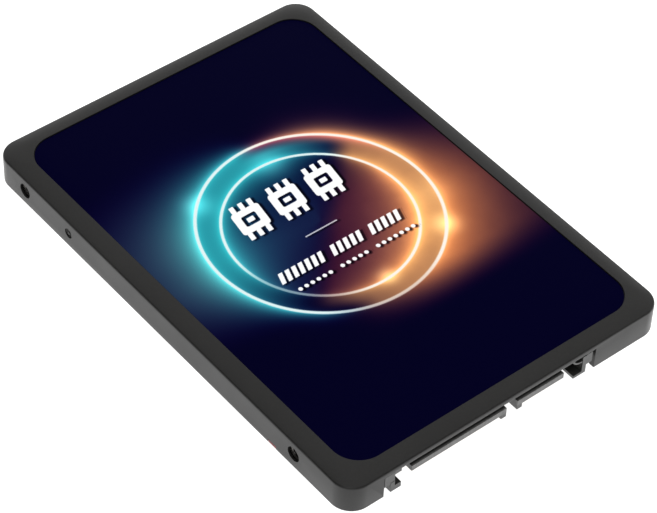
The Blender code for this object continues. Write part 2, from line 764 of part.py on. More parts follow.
def make_components(parent, chip_material, block_material, can_material):
    flash = [(f"flash_chip_{number}", FLASH_SIZE, (x, FLASH_Y)) for number, x in enumerate(FLASH_X, start=1)]
    groups = (
        ((*CHIPS, *flash), chip_material, CHIP_LIFT),
        (BLOCKS, block_material, FIT),
        (CANS, can_material, FIT),
    )
    for pieces, material, lift in groups:
        for name, size, (x, y) in pieces:
            half = Vector((size[0] / 2, size[1] / 2, 0))
            solid = block(-half, half + Vector((0, 0, size[2])))
            soften(part(name, solid, material, parent, (x, y, BOARD_TOP + lift)), PACKAGE_EDGE)


# ---- The whole drive ------------------------------------------------------------------------------------
def new_body(name, at):
    """An empty that carries one body's pieces."""
    body = bpy.data.objects.new(name, None)
    body.location = Vector(at) * MM
    PARTS.objects.link(body)
    return body


def build_drive():
    base = new_body("base", (0, 0, 0))
    lid = new_body("lid", (0, 0, 0))

    case = finish("case", (0.045, 0.045, 0.046), 0.55)
    label = finish("label", (0.004, 0.002, 0.03), 0.25)
    plug = finish("plug", (0.03, 0.03, 0.032), 0.45)
    gold = finish("gold", (0.83, 0.62, 0.25), 0.25, 1.0)
    steel = finish("steel", (0.55, 0.55, 0.56), 0.3, 1.0)
    mask = finish("board", (0.01, 0.11, 0.045), 0.35)
    chip = finish("chip", (0.02, 0.02, 0.021), 0.5)
    moulded = finish("moulded", (0.1, 0.09, 0.075), 0.5)
    pad = finish("heat_pad", (0.35, 0.5, 0.62), 0.8)
    paper = finish("paper", (0.75, 0.75, 0.74), 0.6)
    seal = finish("seal", (0.5, 0.03, 0.03), 0.4)

    make_bottom_cover(base, case)
    make_bottom_label(base, paper)
    make_seal(base, seal)
    make_circuit_board(base, mask)
    make_connector_housing(base, plug)
    make_contacts(base, gold)
    make_hold_downs(base, steel)
    make_components(base, chip, moulded, steel)
    make_board_screws(base, steel)

    make_top_shell(lid, case)
    make_top_label(lid, label)
    make_heat_pads(lid, pad)
    make_mount_nuts(lid, steel)


clear_scene()
PARTS = new_collection("solid_state_drive")
CUTTERS = new_collection("cutters")
build_drive()
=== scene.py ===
import math
import random

import bmesh
import bpy
from mathutils import Matrix, Vector


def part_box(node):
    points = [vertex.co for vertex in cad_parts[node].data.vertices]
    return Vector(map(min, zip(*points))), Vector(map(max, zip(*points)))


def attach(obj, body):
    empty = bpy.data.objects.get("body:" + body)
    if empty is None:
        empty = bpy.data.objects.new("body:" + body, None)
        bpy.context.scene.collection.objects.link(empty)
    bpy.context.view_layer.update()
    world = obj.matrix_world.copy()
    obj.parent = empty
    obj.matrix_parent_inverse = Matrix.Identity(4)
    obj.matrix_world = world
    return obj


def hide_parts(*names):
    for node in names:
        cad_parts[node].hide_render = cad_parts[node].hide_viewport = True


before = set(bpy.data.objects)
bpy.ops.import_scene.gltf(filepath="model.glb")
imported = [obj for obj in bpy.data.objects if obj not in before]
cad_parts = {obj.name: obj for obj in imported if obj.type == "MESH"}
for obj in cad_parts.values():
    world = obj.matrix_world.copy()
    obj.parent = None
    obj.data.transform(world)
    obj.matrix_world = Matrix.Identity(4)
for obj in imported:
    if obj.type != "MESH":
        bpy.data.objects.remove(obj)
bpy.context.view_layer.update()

# The looks of a 2.5 inch solid state drive. Sizes are in millimetres and become metres when a mesh is
# made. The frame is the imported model's: +Z is up to the label and the plug is at the -Y end.
MM = 0.001

# ---- Camera: where it looks from, as an orbit round a target ----
CAMERA_AZIMUTH = -40.80
CAMERA_ELEVATION = 45.79
CAMERA_DISTANCE = 474.8
CAMERA_ROLL = 2.589
CAMERA_TARGET = (-2.489, -5.045, 3.5)
CAMERA_LENS = 149.6
SENSOR_WIDTH = 36.0

# ---- Case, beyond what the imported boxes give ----
WALL = 1.2
CORNER_RADIUS = 4.1
EDGE = 0.12
FOOT_EDGE = 0.04
RIM_START = 5.32
CREASE_RADIUS = 0.5
CREASE_ANGLE = 69
LIP_RADIUS = 0.6
GUIDE_LIP_RADIUS = 0.12
RECESS_EDGE = 0.06
RECESS_DEPTH = 0.4
RECESS_GAP = 0.1
LABEL_RADIUS = 5.2
FILM_EDGE = 0.05
CEILING_FILLET = 0.5
RIB_Y = (24.0, 33.0, 42.0)
RIB_HALF = (30.0, 0.35)
RIB_DEPTH = 0.7
ROOT_OVERLAP = 0.3
SEAL_NOTCH = 1.1
NUT_EDGE = 0.12
SHELL_EDGE = 0.10
ROUND_STEPS = 18
SIDE_HOLE_Z = 3.0
SIDE_HOLE_RADIUS = 1.46
DIMPLE_RADIUS = 1.0
DIMPLE_DEPTH = 0.3
PIP_RADIUS = 0.45
PIP_HEIGHT = 0.26
THREAD_ROOT = 1.5
THREAD_CREST = 1.25
THREAD_PITCH = 0.5
THREAD_DEPTH = 4.0
CUT_OUT = (-27.3, 19.1)
LIP = 4.25
GUIDE_LIP = 4.55
GUIDE_STRETCHES = ((-27.3, -23.3), (12.7, 19.1))
TAB_Y = (-20.0, 3.6, 27.2)
REAR_TAB_X = (-16.0, 16.0)
TAB_WINDOW = (4.4, 0.5, 1.6)
POST_PLACES = ((-16.0, -35.2), (8.0, -33.6), (0.0, 18.9))
POST_RADIUS = 1.3
POST_LOW = 3.85
FIT = 0.1


def box_mm(node):
    """A CAD node's two corners in millimetres."""
    low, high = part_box(node)
    return low / MM, high / MM


def plan(low, high):
    """Seen from above, the middle of a box and half its size each way."""
    middle = ((low[0] + high[0]) / 2, (low[1] + high[1]) / 2)
    return middle, ((high[0] - low[0]) / 2, (high[1] - low[1]) / 2)


SHELL_LOW, SHELL_HIGH = box_mm("top_shell")
HALF_X = SHELL_HIGH.x
HALF_Y = SHELL_HIGH.y
TOP = SHELL_HIGH.z
FRONT = SHELL_LOW.y
CEILING = TOP - WALL
LABEL_LOW, LABEL_HIGH = box_mm("top_label")
LABEL_MIDDLE, LABEL_HALF = plan(LABEL_LOW, LABEL_HIGH)
BOARD_LOW, BOARD_HIGH = box_mm("circuit_board")
BOARD_TOP = BOARD_HIGH.z


# ==== Meshes ====
def around(centre, half, low, high):
    """Opposite corners of a box that stands over a place, between two heights."""
    x, y = centre
    half_x, half_y = half
    return (x - half_x, y - half_y, low), (x + half_x, y + half_y, high)


def block(corner, opposite):
    """A box between two opposite corners, in either order."""
    low = Vector(map(min, corner, opposite))
    high = Vector(map(max, corner, opposite))
    solid = bmesh.new()
    bmesh.ops.create_cube(solid, size=1.0)
    bmesh.ops.scale(solid, vec=high - low, verts=solid.verts)
    bmesh.ops.translate(solid, vec=(low + high) / 2, verts=solid.verts)
    return solid


def soft_block(corner, opposite, edge, segments=2):
    """A box with all its edges rounded."""
    solid = block(corner, opposite)
    bmesh.ops.bevel(
        solid, geom=solid.edges[:], offset=edge, segments=segments, profile=0.5, affect="EDGES"
    )
    return solid


def rod(centre, radius, depth, axis="Z", segments=48):
    """A cylinder with its middle at the centre given."""
    solid = bmesh.new()
    bmesh.ops.create_cone(
        solid, cap_ends=True, segments=segments, radius1=radius, radius2=radius, depth=depth
    )
    if axis == "X":
        bmesh.ops.rotate(solid, matrix=Matrix.Rotation(math.pi / 2, 3, "Y"), verts=solid.verts)
    bmesh.ops.translate(solid, vec=centre, verts=solid.verts)
    return solid


def ring_points(half_x, half_y, radius, centre, z, steps=ROUND_STEPS):
    """Points of a rounded rectangle, anticlockwise from the +X +Y corner."""
    points = []
    for number, (sx, sy) in enumerate(((1, 1), (-1, 1), (-1, -1), (1, -1))):
        middle = Vector((centre[0] + sx * (half_x - radius), centre[1] + sy * (half_y - radius), z))
        for step in range(steps + 1):
            angle = math.pi / 2 * (number + step / steps)
            points.append(middle + radius * Vector((math.cos(angle), math.sin(angle), 0)))
    return points


def loft(rings, closed=False):
    """Rings of equal length joined by quads, with flat ends or with the last ring joined to the first."""
    solid = bmesh.new()
    rows = [[solid.verts.new(point) for point in ring] for ring in rings]
    for lower, upper in zip(rows, rows[1:] + rows[:1] if closed else rows[1:]):
        count = len(lower)
        for index in range(count):
            after = (index + 1) % count
            solid.faces.new((lower[index], lower[after], upper[after], upper[index]))
    if not closed:
        solid.faces.new(list(reversed(rows[0])))
        solid.faces.new(rows[-1])
    bmesh.ops.recalc_face_normals(solid, faces=solid.faces)
    return solid


def circle(radius, segments):
    """Points round a circle, as pairs."""
    turns = [2 * math.pi * step / segments for step in range(segments)]
    return [(radius * math.cos(turn), radius * math.sin(turn)) for turn in turns]


def turned(profile, centre=(0, 0, 0), segments=32):
    """A solid of revolution about Z from (radius, height) points that start and end on the axis."""
    rings = []
    for radius, height in profile:
        rings.append([Vector(centre) + Vector((x, y, height)) for x, y in circle(radius, segments)])
    return loft(rings)


def gather(solids):
    """Several solids as one mesh of separate bodies."""
    together = bmesh.new()
    for solid in solids:
        mesh = bpy.data.meshes.new("gathered")
        solid.to_mesh(mesh)
        solid.free()
        together.from_mesh(mesh)
        bpy.data.meshes.remove(mesh)
    return together


def mesh_from(name, solid, materials):
    bmesh.ops.scale(solid, vec=(MM, MM, MM), verts=solid.verts)
    mesh = bpy.data.meshes.new(name)
    solid.to_mesh(mesh)
    solid.free()
    for material in materials:
        mesh.materials.append(material)
    mesh.shade_smooth()
    mesh.set_sharp_from_angle(angle=math.radians(35))
    return mesh


def placed(name, data):
    """A new object in the scene."""
    made = bpy.data.objects.new(name, data)
    bpy.context.scene.collection.objects.link(made)
    return made


def piece(name, solid, material, body, replaces=()):
    """A finished piece that rides on a body and may stand for CAD nodes."""
    made = placed(name, mesh_from(name, solid, [material]))
    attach(made, body)
    if replaces:
        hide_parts(*replaces)
    return made


def cut_solid(solid, tools, operation="DIFFERENCE"):
    """Solid with each tool cut out of it or joined to it, as a new bmesh."""
    for tool in tools:
        pair = []
        for part in (solid, tool):
            mesh = bpy.data.meshes.new("operand")
            part.to_mesh(mesh)
            part.free()
            pair.append(placed("operand", mesh))
        boolean = pair[0].modifiers.new("Boolean", "BOOLEAN")
        boolean.operation = operation
        boolean.solver = "EXACT"
        boolean.object = pair[1]
        view = bpy.context.evaluated_depsgraph_get()
        result = bpy.data.meshes.new_from_object(pair[0].evaluated_get(view))
        solid = bmesh.new()
        solid.from_mesh(result)
        bpy.data.meshes.remove(result)
        for holder in pair:
            mesh = holder.data
            bpy.data.objects.remove(holder)
            bpy.data.meshes.remove(mesh)
    return solid


def soften(made, width, segments=2, angle=40):
    """Rounds a piece's sharp edges without touching its smooth ones."""
    bevel = made.modifiers.new("Bevel", "BEVEL")
    bevel.width = width * MM
    bevel.segments = segments
    bevel.limit_method = "ANGLE"
    bevel.angle_limit = math.radians(angle)
    bevel.use_clamp_overlap = True
    bevel.harden_normals = True


def refine(node, material, edge=0.0, segments=2):
    """Gives a CAD node its material, and rounds its edges with modifiers only."""
    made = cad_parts[node]
    made.data.materials.clear()
    made.data.materials.append(material)
    if edge:
        weld = made.modifiers.new("Weld", "WELD")
        weld.merge_threshold = 0.002 * MM
        flat = made.modifiers.new("Flat", "DECIMATE")
        flat.decimate_type = "DISSOLVE"
        flat.angle_limit = math.radians(1.0)
        soften(made, edge, segments)


# ==== Shader building ====
class Value:
    """A number that nodes work out at each point, with ordinary arithmetic."""

    def __init__(self, tree, source):
        self.tree = tree
        self.source = source

    def math(self, operation, *others):
        node = self.tree.nodes.new("ShaderNodeMath")
        node.operation = operation
        for socket, value in zip(node.inputs, (self, *others)):
            if isinstance(value, Value):
                self.tree.links.new(value.source, socket)
            else:
                socket.default_value = value
        return Value(self.tree, node.outputs[0])

    def __add__(self, other):
        return self.math("ADD", other)

    def __sub__(self, other):
        return self.math("SUBTRACT", other)

    def __mul__(self, other):
        return self.math("MULTIPLY", other)

    def __truediv__(self, other):
        return self.math("DIVIDE", other)

    def __rsub__(self, other):
        node = self.tree.nodes.new("ShaderNodeMath")
        node.operation = "SUBTRACT"
        node.inputs[0].default_value = other
        self.tree.links.new(self.source, node.inputs[1])
        return Value(self.tree, node.outputs[0])

    __radd__ = __add__


def absolute(value):
    return value.math("ABSOLUTE")


def root(value):
    return value.math("SQRT")


def exponential(value):
    return value.math("EXPONENT")


def larger(value, other):
    return value.math("MAXIMUM", other)


def smaller(value, other):
    return value.math("MINIMUM", other)


def wrapped(value, period):
    """Repeats a coordinate every period, centred on zero."""
    return value.math("WRAP", period / 2, -period / 2)


def smooth(low, high, value):
    """Rises from 0 at low to 1 at high. With low above high it falls instead."""
    node = value.tree.nodes.new("ShaderNodeMapRange")
    node.interpolation_type = "SMOOTHSTEP"
    rising = high > low
    node.inputs["From Min"].default_value = low if rising else high
    node.inputs["From Max"].default_value = high if rising else low
    node.inputs["To Min"].default_value = 0.0 if rising else 1.0
    node.inputs["To Max"].default_value = 1.0 if rising else 0.0
    value.tree.links.new(value.source, node.inputs["Value"])
    return Value(value.tree, node.outputs["Result"])


class Paint:
    """One material being built: its node tree, its shader and the place being shaded in millimetres."""

    def __init__(self, name, colour, roughness, metallic=0.0, **sockets):
        self.material = bpy.data.materials.new(name)
        self.material.use_nodes = True
        self.tree = self.material.node_tree
        self.shader = self.tree.nodes["Principled BSDF"]
        self.shader.inputs["Base Color"].default_value = (*colour, 1.0)
        self.shader.inputs["Roughness"].default_value = roughness
        self.shader.inputs["Metallic"].default_value = metallic
        for socket, value in sockets.items():
            self.shader.inputs[socket.replace("_", " ")].default_value = value
        place = self.tree.nodes.new("ShaderNodeTexCoord")
        scale = self.tree.nodes.new("ShaderNodeMapping")
        scale.inputs["Scale"].default_value = (1 / MM, 1 / MM, 1 / MM)
        self.tree.links.new(place.outputs["Object"], scale.inputs["Vector"])
        self.place = scale.outputs["Vector"]

    def axes(self):
        split = self.tree.nodes.new("ShaderNodeSeparateXYZ")
        self.tree.links.new(self.place, split.inputs[0])
        return [Value(self.tree, output) for output in split.outputs]

    def stretched(self, scale):
        """The place with each axis scaled, for streaks and weaves."""
        node = self.tree.nodes.new("ShaderNodeMapping")
        node.inputs["Scale"].default_value = scale
        self.tree.links.new(self.place, node.inputs["Vector"])
        return node.outputs["Vector"]

    def noise(self, size, detail=3.0, roughness=0.5, place=None):
        """Cloudy noise whose features are about the given size in millimetres."""
        node = self.tree.nodes.new("ShaderNodeTexNoise")
        node.inputs["Scale"].default_value = 1.0 / size
        node.inputs["Detail"].default_value = detail
        node.inputs["Roughness"].default_value = roughness
        self.tree.links.new(place or self.place, node.inputs["Vector"])
        return Value(self.tree, node.outputs[0])

    def cells(self, size):
        """Distance from scattered points about the given size in millimetres apart."""
        node = self.tree.nodes.new("ShaderNodeTexVoronoi")
        node.inputs["Scale"].default_value = 1.0 / size
        self.tree.links.new(self.place, node.inputs["Vector"])
        return Value(self.tree, node.outputs["Distance"])

    def blend(self, amount, first, second):
        """A colour between two, each a tuple or a colour output."""
        node = self.tree.nodes.new("ShaderNodeMix")
        node.data_type = "RGBA"
        self.tree.links.new(amount.source, node.inputs["Factor"])
        for name, value in (("A", first), ("B", second)):
            socket = [s for s in node.inputs if s.name == name and s.type == "RGBA"][0]
            if isinstance(value, tuple):
                socket.default_value = (*value, 1.0)
            else:
                self.tree.links.new(value, socket)
        return [s for s in node.outputs if s.type == "RGBA"][0]

    def colour(self, output):
        self.tree.links.new(output, self.shader.inputs["Base Color"])

    def roughness(self, value):
        self.tree.links.new(value.source, self.shader.inputs["Roughness"])

    def bump(self, height, depth, strength=1.0):
        """Surface relief, with depth in millimetres for a height from 0 to 1."""
        node = self.tree.nodes.new("ShaderNodeBump")
        node.inputs["Strength"].default_value = strength
        node.inputs["Distance"].default_value = depth * MM
        self.tree.links.new(height.source, node.inputs["Height"])
        self.tree.links.new(node.outputs["Normal"], self.shader.inputs["Normal"])


# ==== Materials ====
def case_plastic():
    """Spark-eroded plastic: fine even grain, faint flow marks and slightly uneven gloss."""
    dark = (0.0095, 0.0093, 0.0090)
    paint = Paint("case_plastic", dark, 0.36, IOR=1.40)
    flow = paint.noise(22.0, 2.0)
    specks = paint.noise(0.35, 2.0)
    tone = smooth(0.38, 0.62, flow * 0.4 + specks * 0.6)
    paint.colour(paint.blend(tone, dark, (0.0120, 0.0117, 0.0113)))
    paint.roughness(paint.noise(7.0, 3.0) * 0.12 + 0.30)
    paint.bump(paint.cells(0.18) * 0.7 + paint.noise(0.288, 4.0, 0.6) * 0.6, 0.004, 0.6)
    return paint.material


# Where the painted highlight on the tongues' front faces lies: their span, how far behind the front it
# fades, and its colour.
TONGUES_LEFT = (-22.0, -21.6)
TONGUES_RIGHT = (12.3, 12.0)
TONGUES_LOW = (2.2, 2.5)
TONGUES_HIGH = (3.9, 3.6)
TIP_HIGHLIGHT_DEPTHS = (0.5, 0.15)
TIP_HIGHLIGHT_COLOUR = (0.110, 0.109, 0.106)


def plug_plastic():
    """Glass-filled plug plastic with drawn streaks, and a painted highlight that lightens the tongues'
    front faces.
    """
    dark = (0.015, 0.015, 0.0145)
    light = (0.031, 0.031, 0.030)
    paint = Paint("plug_plastic", dark, 0.38, IOR=1.70)
    low, _ = box_mm("connector_housing")
    x, y, z = paint.axes()
    across = smooth(*TONGUES_LEFT, x) * smooth(*TONGUES_RIGHT, x)
    # Painted highlight: the tongues' front faces are painted lighter, mottled by the drawn streaks.
    lit_tip = smooth(*[low.y + depth for depth in TIP_HIGHLIGHT_DEPTHS], y)
    lit_tip = lit_tip * smooth(*TONGUES_LOW, z) * smooth(*TONGUES_HIGH, z) * across
    streaks = paint.noise(0.32, 2.0, 0.5, paint.stretched((1.0, 0.18, 0.06)))
    specks = paint.noise(0.2, 3.0, 0.6)
    drawn = smooth(0.35, 0.68, streaks * 0.7 + specks * 0.3)
    paint.colour(paint.blend(lit_tip * (drawn * 0.5 + 0.5), paint.blend(drawn, dark, light), TIP_HIGHLIGHT_COLOUR))
    paint.roughness(specks * 0.16 + 0.31)
    paint.bump(streaks * 0.6 + specks * 0.4, 0.006, 0.5)
    return paint.material


def contact_gold(name="contact_gold"):
    paint = Paint(name, (0.86, 0.62, 0.24), 0.24, 1.0)
    rubs = paint.noise(0.09, 3.0, 0.6, paint.stretched((1.0, 0.05, 1.0)))
    tone = paint.noise(1.4, 2.0)
    paint.colour(paint.blend(smooth(0.3, 0.75, tone), (0.80, 0.54, 0.19), (0.93, 0.72, 0.34)))
    paint.roughness(rubs * 0.22 + 0.14)
    paint.bump(rubs, 0.002, 0.4)
    return paint.material


def tinned_metal(name="tinned_metal"):
    """Tin plate: a soft crystalline mottling and fine rubs."""
    bright = (0.58, 0.58, 0.57)
    paint = Paint(name, bright, 0.3, 1.0)
    spangle = paint.cells(0.5)
    rubs = paint.noise(0.12, 3.0, 0.6, paint.stretched((1.0, 0.2, 1.0)))
    paint.colour(paint.blend(smooth(0.1, 0.8, spangle), bright, (0.40, 0.40, 0.41)))
    paint.roughness(spangle * 0.15 + rubs * 0.12 + 0.2)
    paint.bump(rubs * 0.6 + spangle * 0.4, 0.003, 0.4)
    return paint.material


def turned_steel(name, colour, shade):
    """Cold-formed steel with plating, its tone mottled at random between two colours."""
    paint = Paint(name, colour, 0.28, 1.0)
    wear = paint.noise(0.7, 4.0, 0.6)
    paint.colour(paint.blend(smooth(0.35, 0.7, wear), colour, shade))
    paint.roughness(wear * 0.25 + 0.16)
    paint.bump(paint.noise(0.1, 3.0, 0.6), 0.003, 0.35)
    return paint.material


def solder_mask():
    """Green lacquer over glass cloth: the weave shows faintly, and the copper lifts it in places."""
    paint = Paint("solder_mask", (0.004, 0.045, 0.020), 0.32, Coat_Weight=0.25, Coat_Roughness=0.12)
    x, y, _ = paint.axes()
    weave = absolute(wrapped(x, 0.9)) + absolute(wrapped(y, 0.9))
    pour = smooth(0.46, 0.5, paint.noise(9.0, 1.0))
    tone = weave * 0.25 + paint.noise(3.0, 3.0) * 0.6
    plain = paint.blend(smooth(0.2, 0.8, tone), (0.0028, 0.033, 0.014), (0.0045, 0.052, 0.023))
    paint.colour(paint.blend(pour, plain, (0.006, 0.072, 0.030)))
    paint.roughness(paint.noise(1.2, 3.0) * 0.16 + 0.26)
    paint.bump(weave * 0.5 + pour * 0.5, 0.012, 0.4)
    return paint.material


def masked_copper():
    """Tracks under the lacquer: lighter green, smooth on top."""
    paint = Paint("masked_copper", (0.010, 0.115, 0.047), 0.26, Coat_Weight=0.25, Coat_Roughness=0.12)
    tone = paint.noise(1.6, 3.0)
    paint.colour(paint.blend(smooth(0.3, 0.7, tone), (0.008, 0.098, 0.039), (0.012, 0.135, 0.055)))
    paint.roughness(tone * 0.2 + 0.2)
    return paint.material


def laminate_edge():
    paint = Paint("package_laminate", (0.02, 0.06, 0.035), 0.5)
    fibres = paint.noise(0.25, 3.0, 0.6, paint.stretched((1.0, 1.0, 5.0)))
    paint.colour(paint.blend(smooth(0.3, 0.7, fibres), (0.012, 0.045, 0.024), (0.035, 0.085, 0.05)))
    paint.roughness(fibres * 0.2 + 0.45)
    return paint.material


def chip_epoxy():
    """Moulding compound: near black, with pale filler specks and a satin skin."""
    paint = Paint("chip_epoxy", (0.012, 0.012, 0.013), 0.5)
    specks = smooth(0.62, 0.74, paint.noise(0.09, 2.0, 0.7))
    cloud = paint.noise(2.5, 3.0)
    base = paint.blend(smooth(0.3, 0.7, cloud), (0.010, 0.010, 0.011), (0.018, 0.018, 0.019))
    paint.colour(paint.blend(specks * 0.35, base, (0.09, 0.09, 0.09)))
    paint.roughness(cloud * 0.18 + 0.42)
    paint.bump(paint.noise(0.1, 4.0, 0.65), 0.006, 0.5)
    return paint.material


def pressed_body(name, dark, light):
    """Sintered or pressed component bodies: grainy and dull."""
    paint = Paint(name, dark, 0.62)
    grain = paint.noise(0.16, 4.0, 0.65)
    paint.colour(paint.blend(smooth(0.3, 0.7, grain), dark, light))
    paint.roughness(grain * 0.2 + 0.5)
    paint.bump(grain, 0.008, 0.5)
    return paint.material


def heat_pad():
    """Silicone pad: chalky blue-grey, with fine pores and a faint knitted backing."""
    paint = Paint("heat_pad", (0.22, 0.31, 0.40), 0.8)
    x, y, _ = paint.axes()
    knit = absolute(wrapped(x + y, 0.8)) + absolute(wrapped(x - y, 0.8))
    pores = paint.cells(0.3)
    tone = paint.noise(2.2, 4.0, 0.6)
    chalk = smooth(0.25, 0.75, tone * 0.8 + pores * 0.2)
    paint.colour(paint.blend(chalk, (0.17, 0.25, 0.34), (0.28, 0.37, 0.46)))
    paint.roughness(tone * 0.15 + 0.72)
    paint.bump(pores * 0.5 + knit * 0.4, 0.03, 0.5)
    return paint.material


def seal_film():
    """Frangible red seal: a diamond slit pattern and a thin, slightly glossy face."""
    paint = Paint("seal_film", (0.20, 0.008, 0.010), 0.35)
    x, y, _ = paint.axes()
    slits = smaller(absolute(wrapped(x + y, 1.4)), absolute(wrapped(x - y, 1.4)))
    line = smooth(0.07, 0.03, slits)
    tone = paint.noise(1.5, 3.0)
    base = paint.blend(smooth(0.3, 0.7, tone), (0.16, 0.007, 0.009), (0.23, 0.012, 0.014))
    paint.colour(paint.blend(line, base, (0.09, 0.004, 0.005)))
    paint.roughness(tone * 0.2 + 0.25)
    paint.bump(1.0 - line, 0.03, 0.4)
    return paint.material


def slab(x, y, half_x, half_y, radius):
    """Distance outside a rounded rectangle centred on zero. It is negative inside."""
    across = larger(absolute(x) - (half_x - radius), 0.0)
    up = larger(absolute(y) - (half_y - radius), 0.0)
    return root(across * across + up * up) - radius


def under_label_paper():
    """Metallised paper with a printed frame and blank ruled fields."""
    paint = Paint("under_label_paper", (0.62, 0.62, 0.61), 0.45)
    (middle_x, middle_y), (half_x, half_y) = plan(*box_mm("bottom_label"))
    x, y, _ = paint.axes()
    x = x - middle_x
    y = y - middle_y
    border = absolute(slab(x, y, half_x - 1.6, half_y - 1.6, 1.6))
    ink = smooth(0.14, 0.06, border)
    rules = absolute(wrapped(y - 10.0, 5.0))
    inside = smooth(18.2, 18.0, absolute(x)) * smooth(18.2, 18.0, absolute(y - 10.0))
    ink = larger(ink, smooth(0.10, 0.05, rules) * inside)
    band = smooth(0.05, -0.05, slab(x, y + 22.5, 19.0, 4.0, 1.0))
    fibres = paint.noise(0.25, 4.0, 0.6)
    paper = paint.blend(smooth(0.3, 0.7, fibres), (0.60, 0.60, 0.59), (0.70, 0.70, 0.69))
    banded = paint.blend(band, paper, (0.012, 0.012, 0.03))
    paint.colour(paint.blend(ink, banded, (0.03, 0.03, 0.035)))
    paint.roughness(fibres * 0.2 + 0.38)
    paint.bump(fibres, 0.004, 0.4)
    return paint.material


# ---- The printed label ----
OUTER_RING = (-0.15, 0.1, 21.95)
INNER_RING = (-0.55, -0.3, 17.4)
NAVY = (0.024, 0.001, 0.140)
SHADOW_TINT = (0.8, 0.8, 0.7)
INK = 0.99
PRINT_LEVEL = 0.892


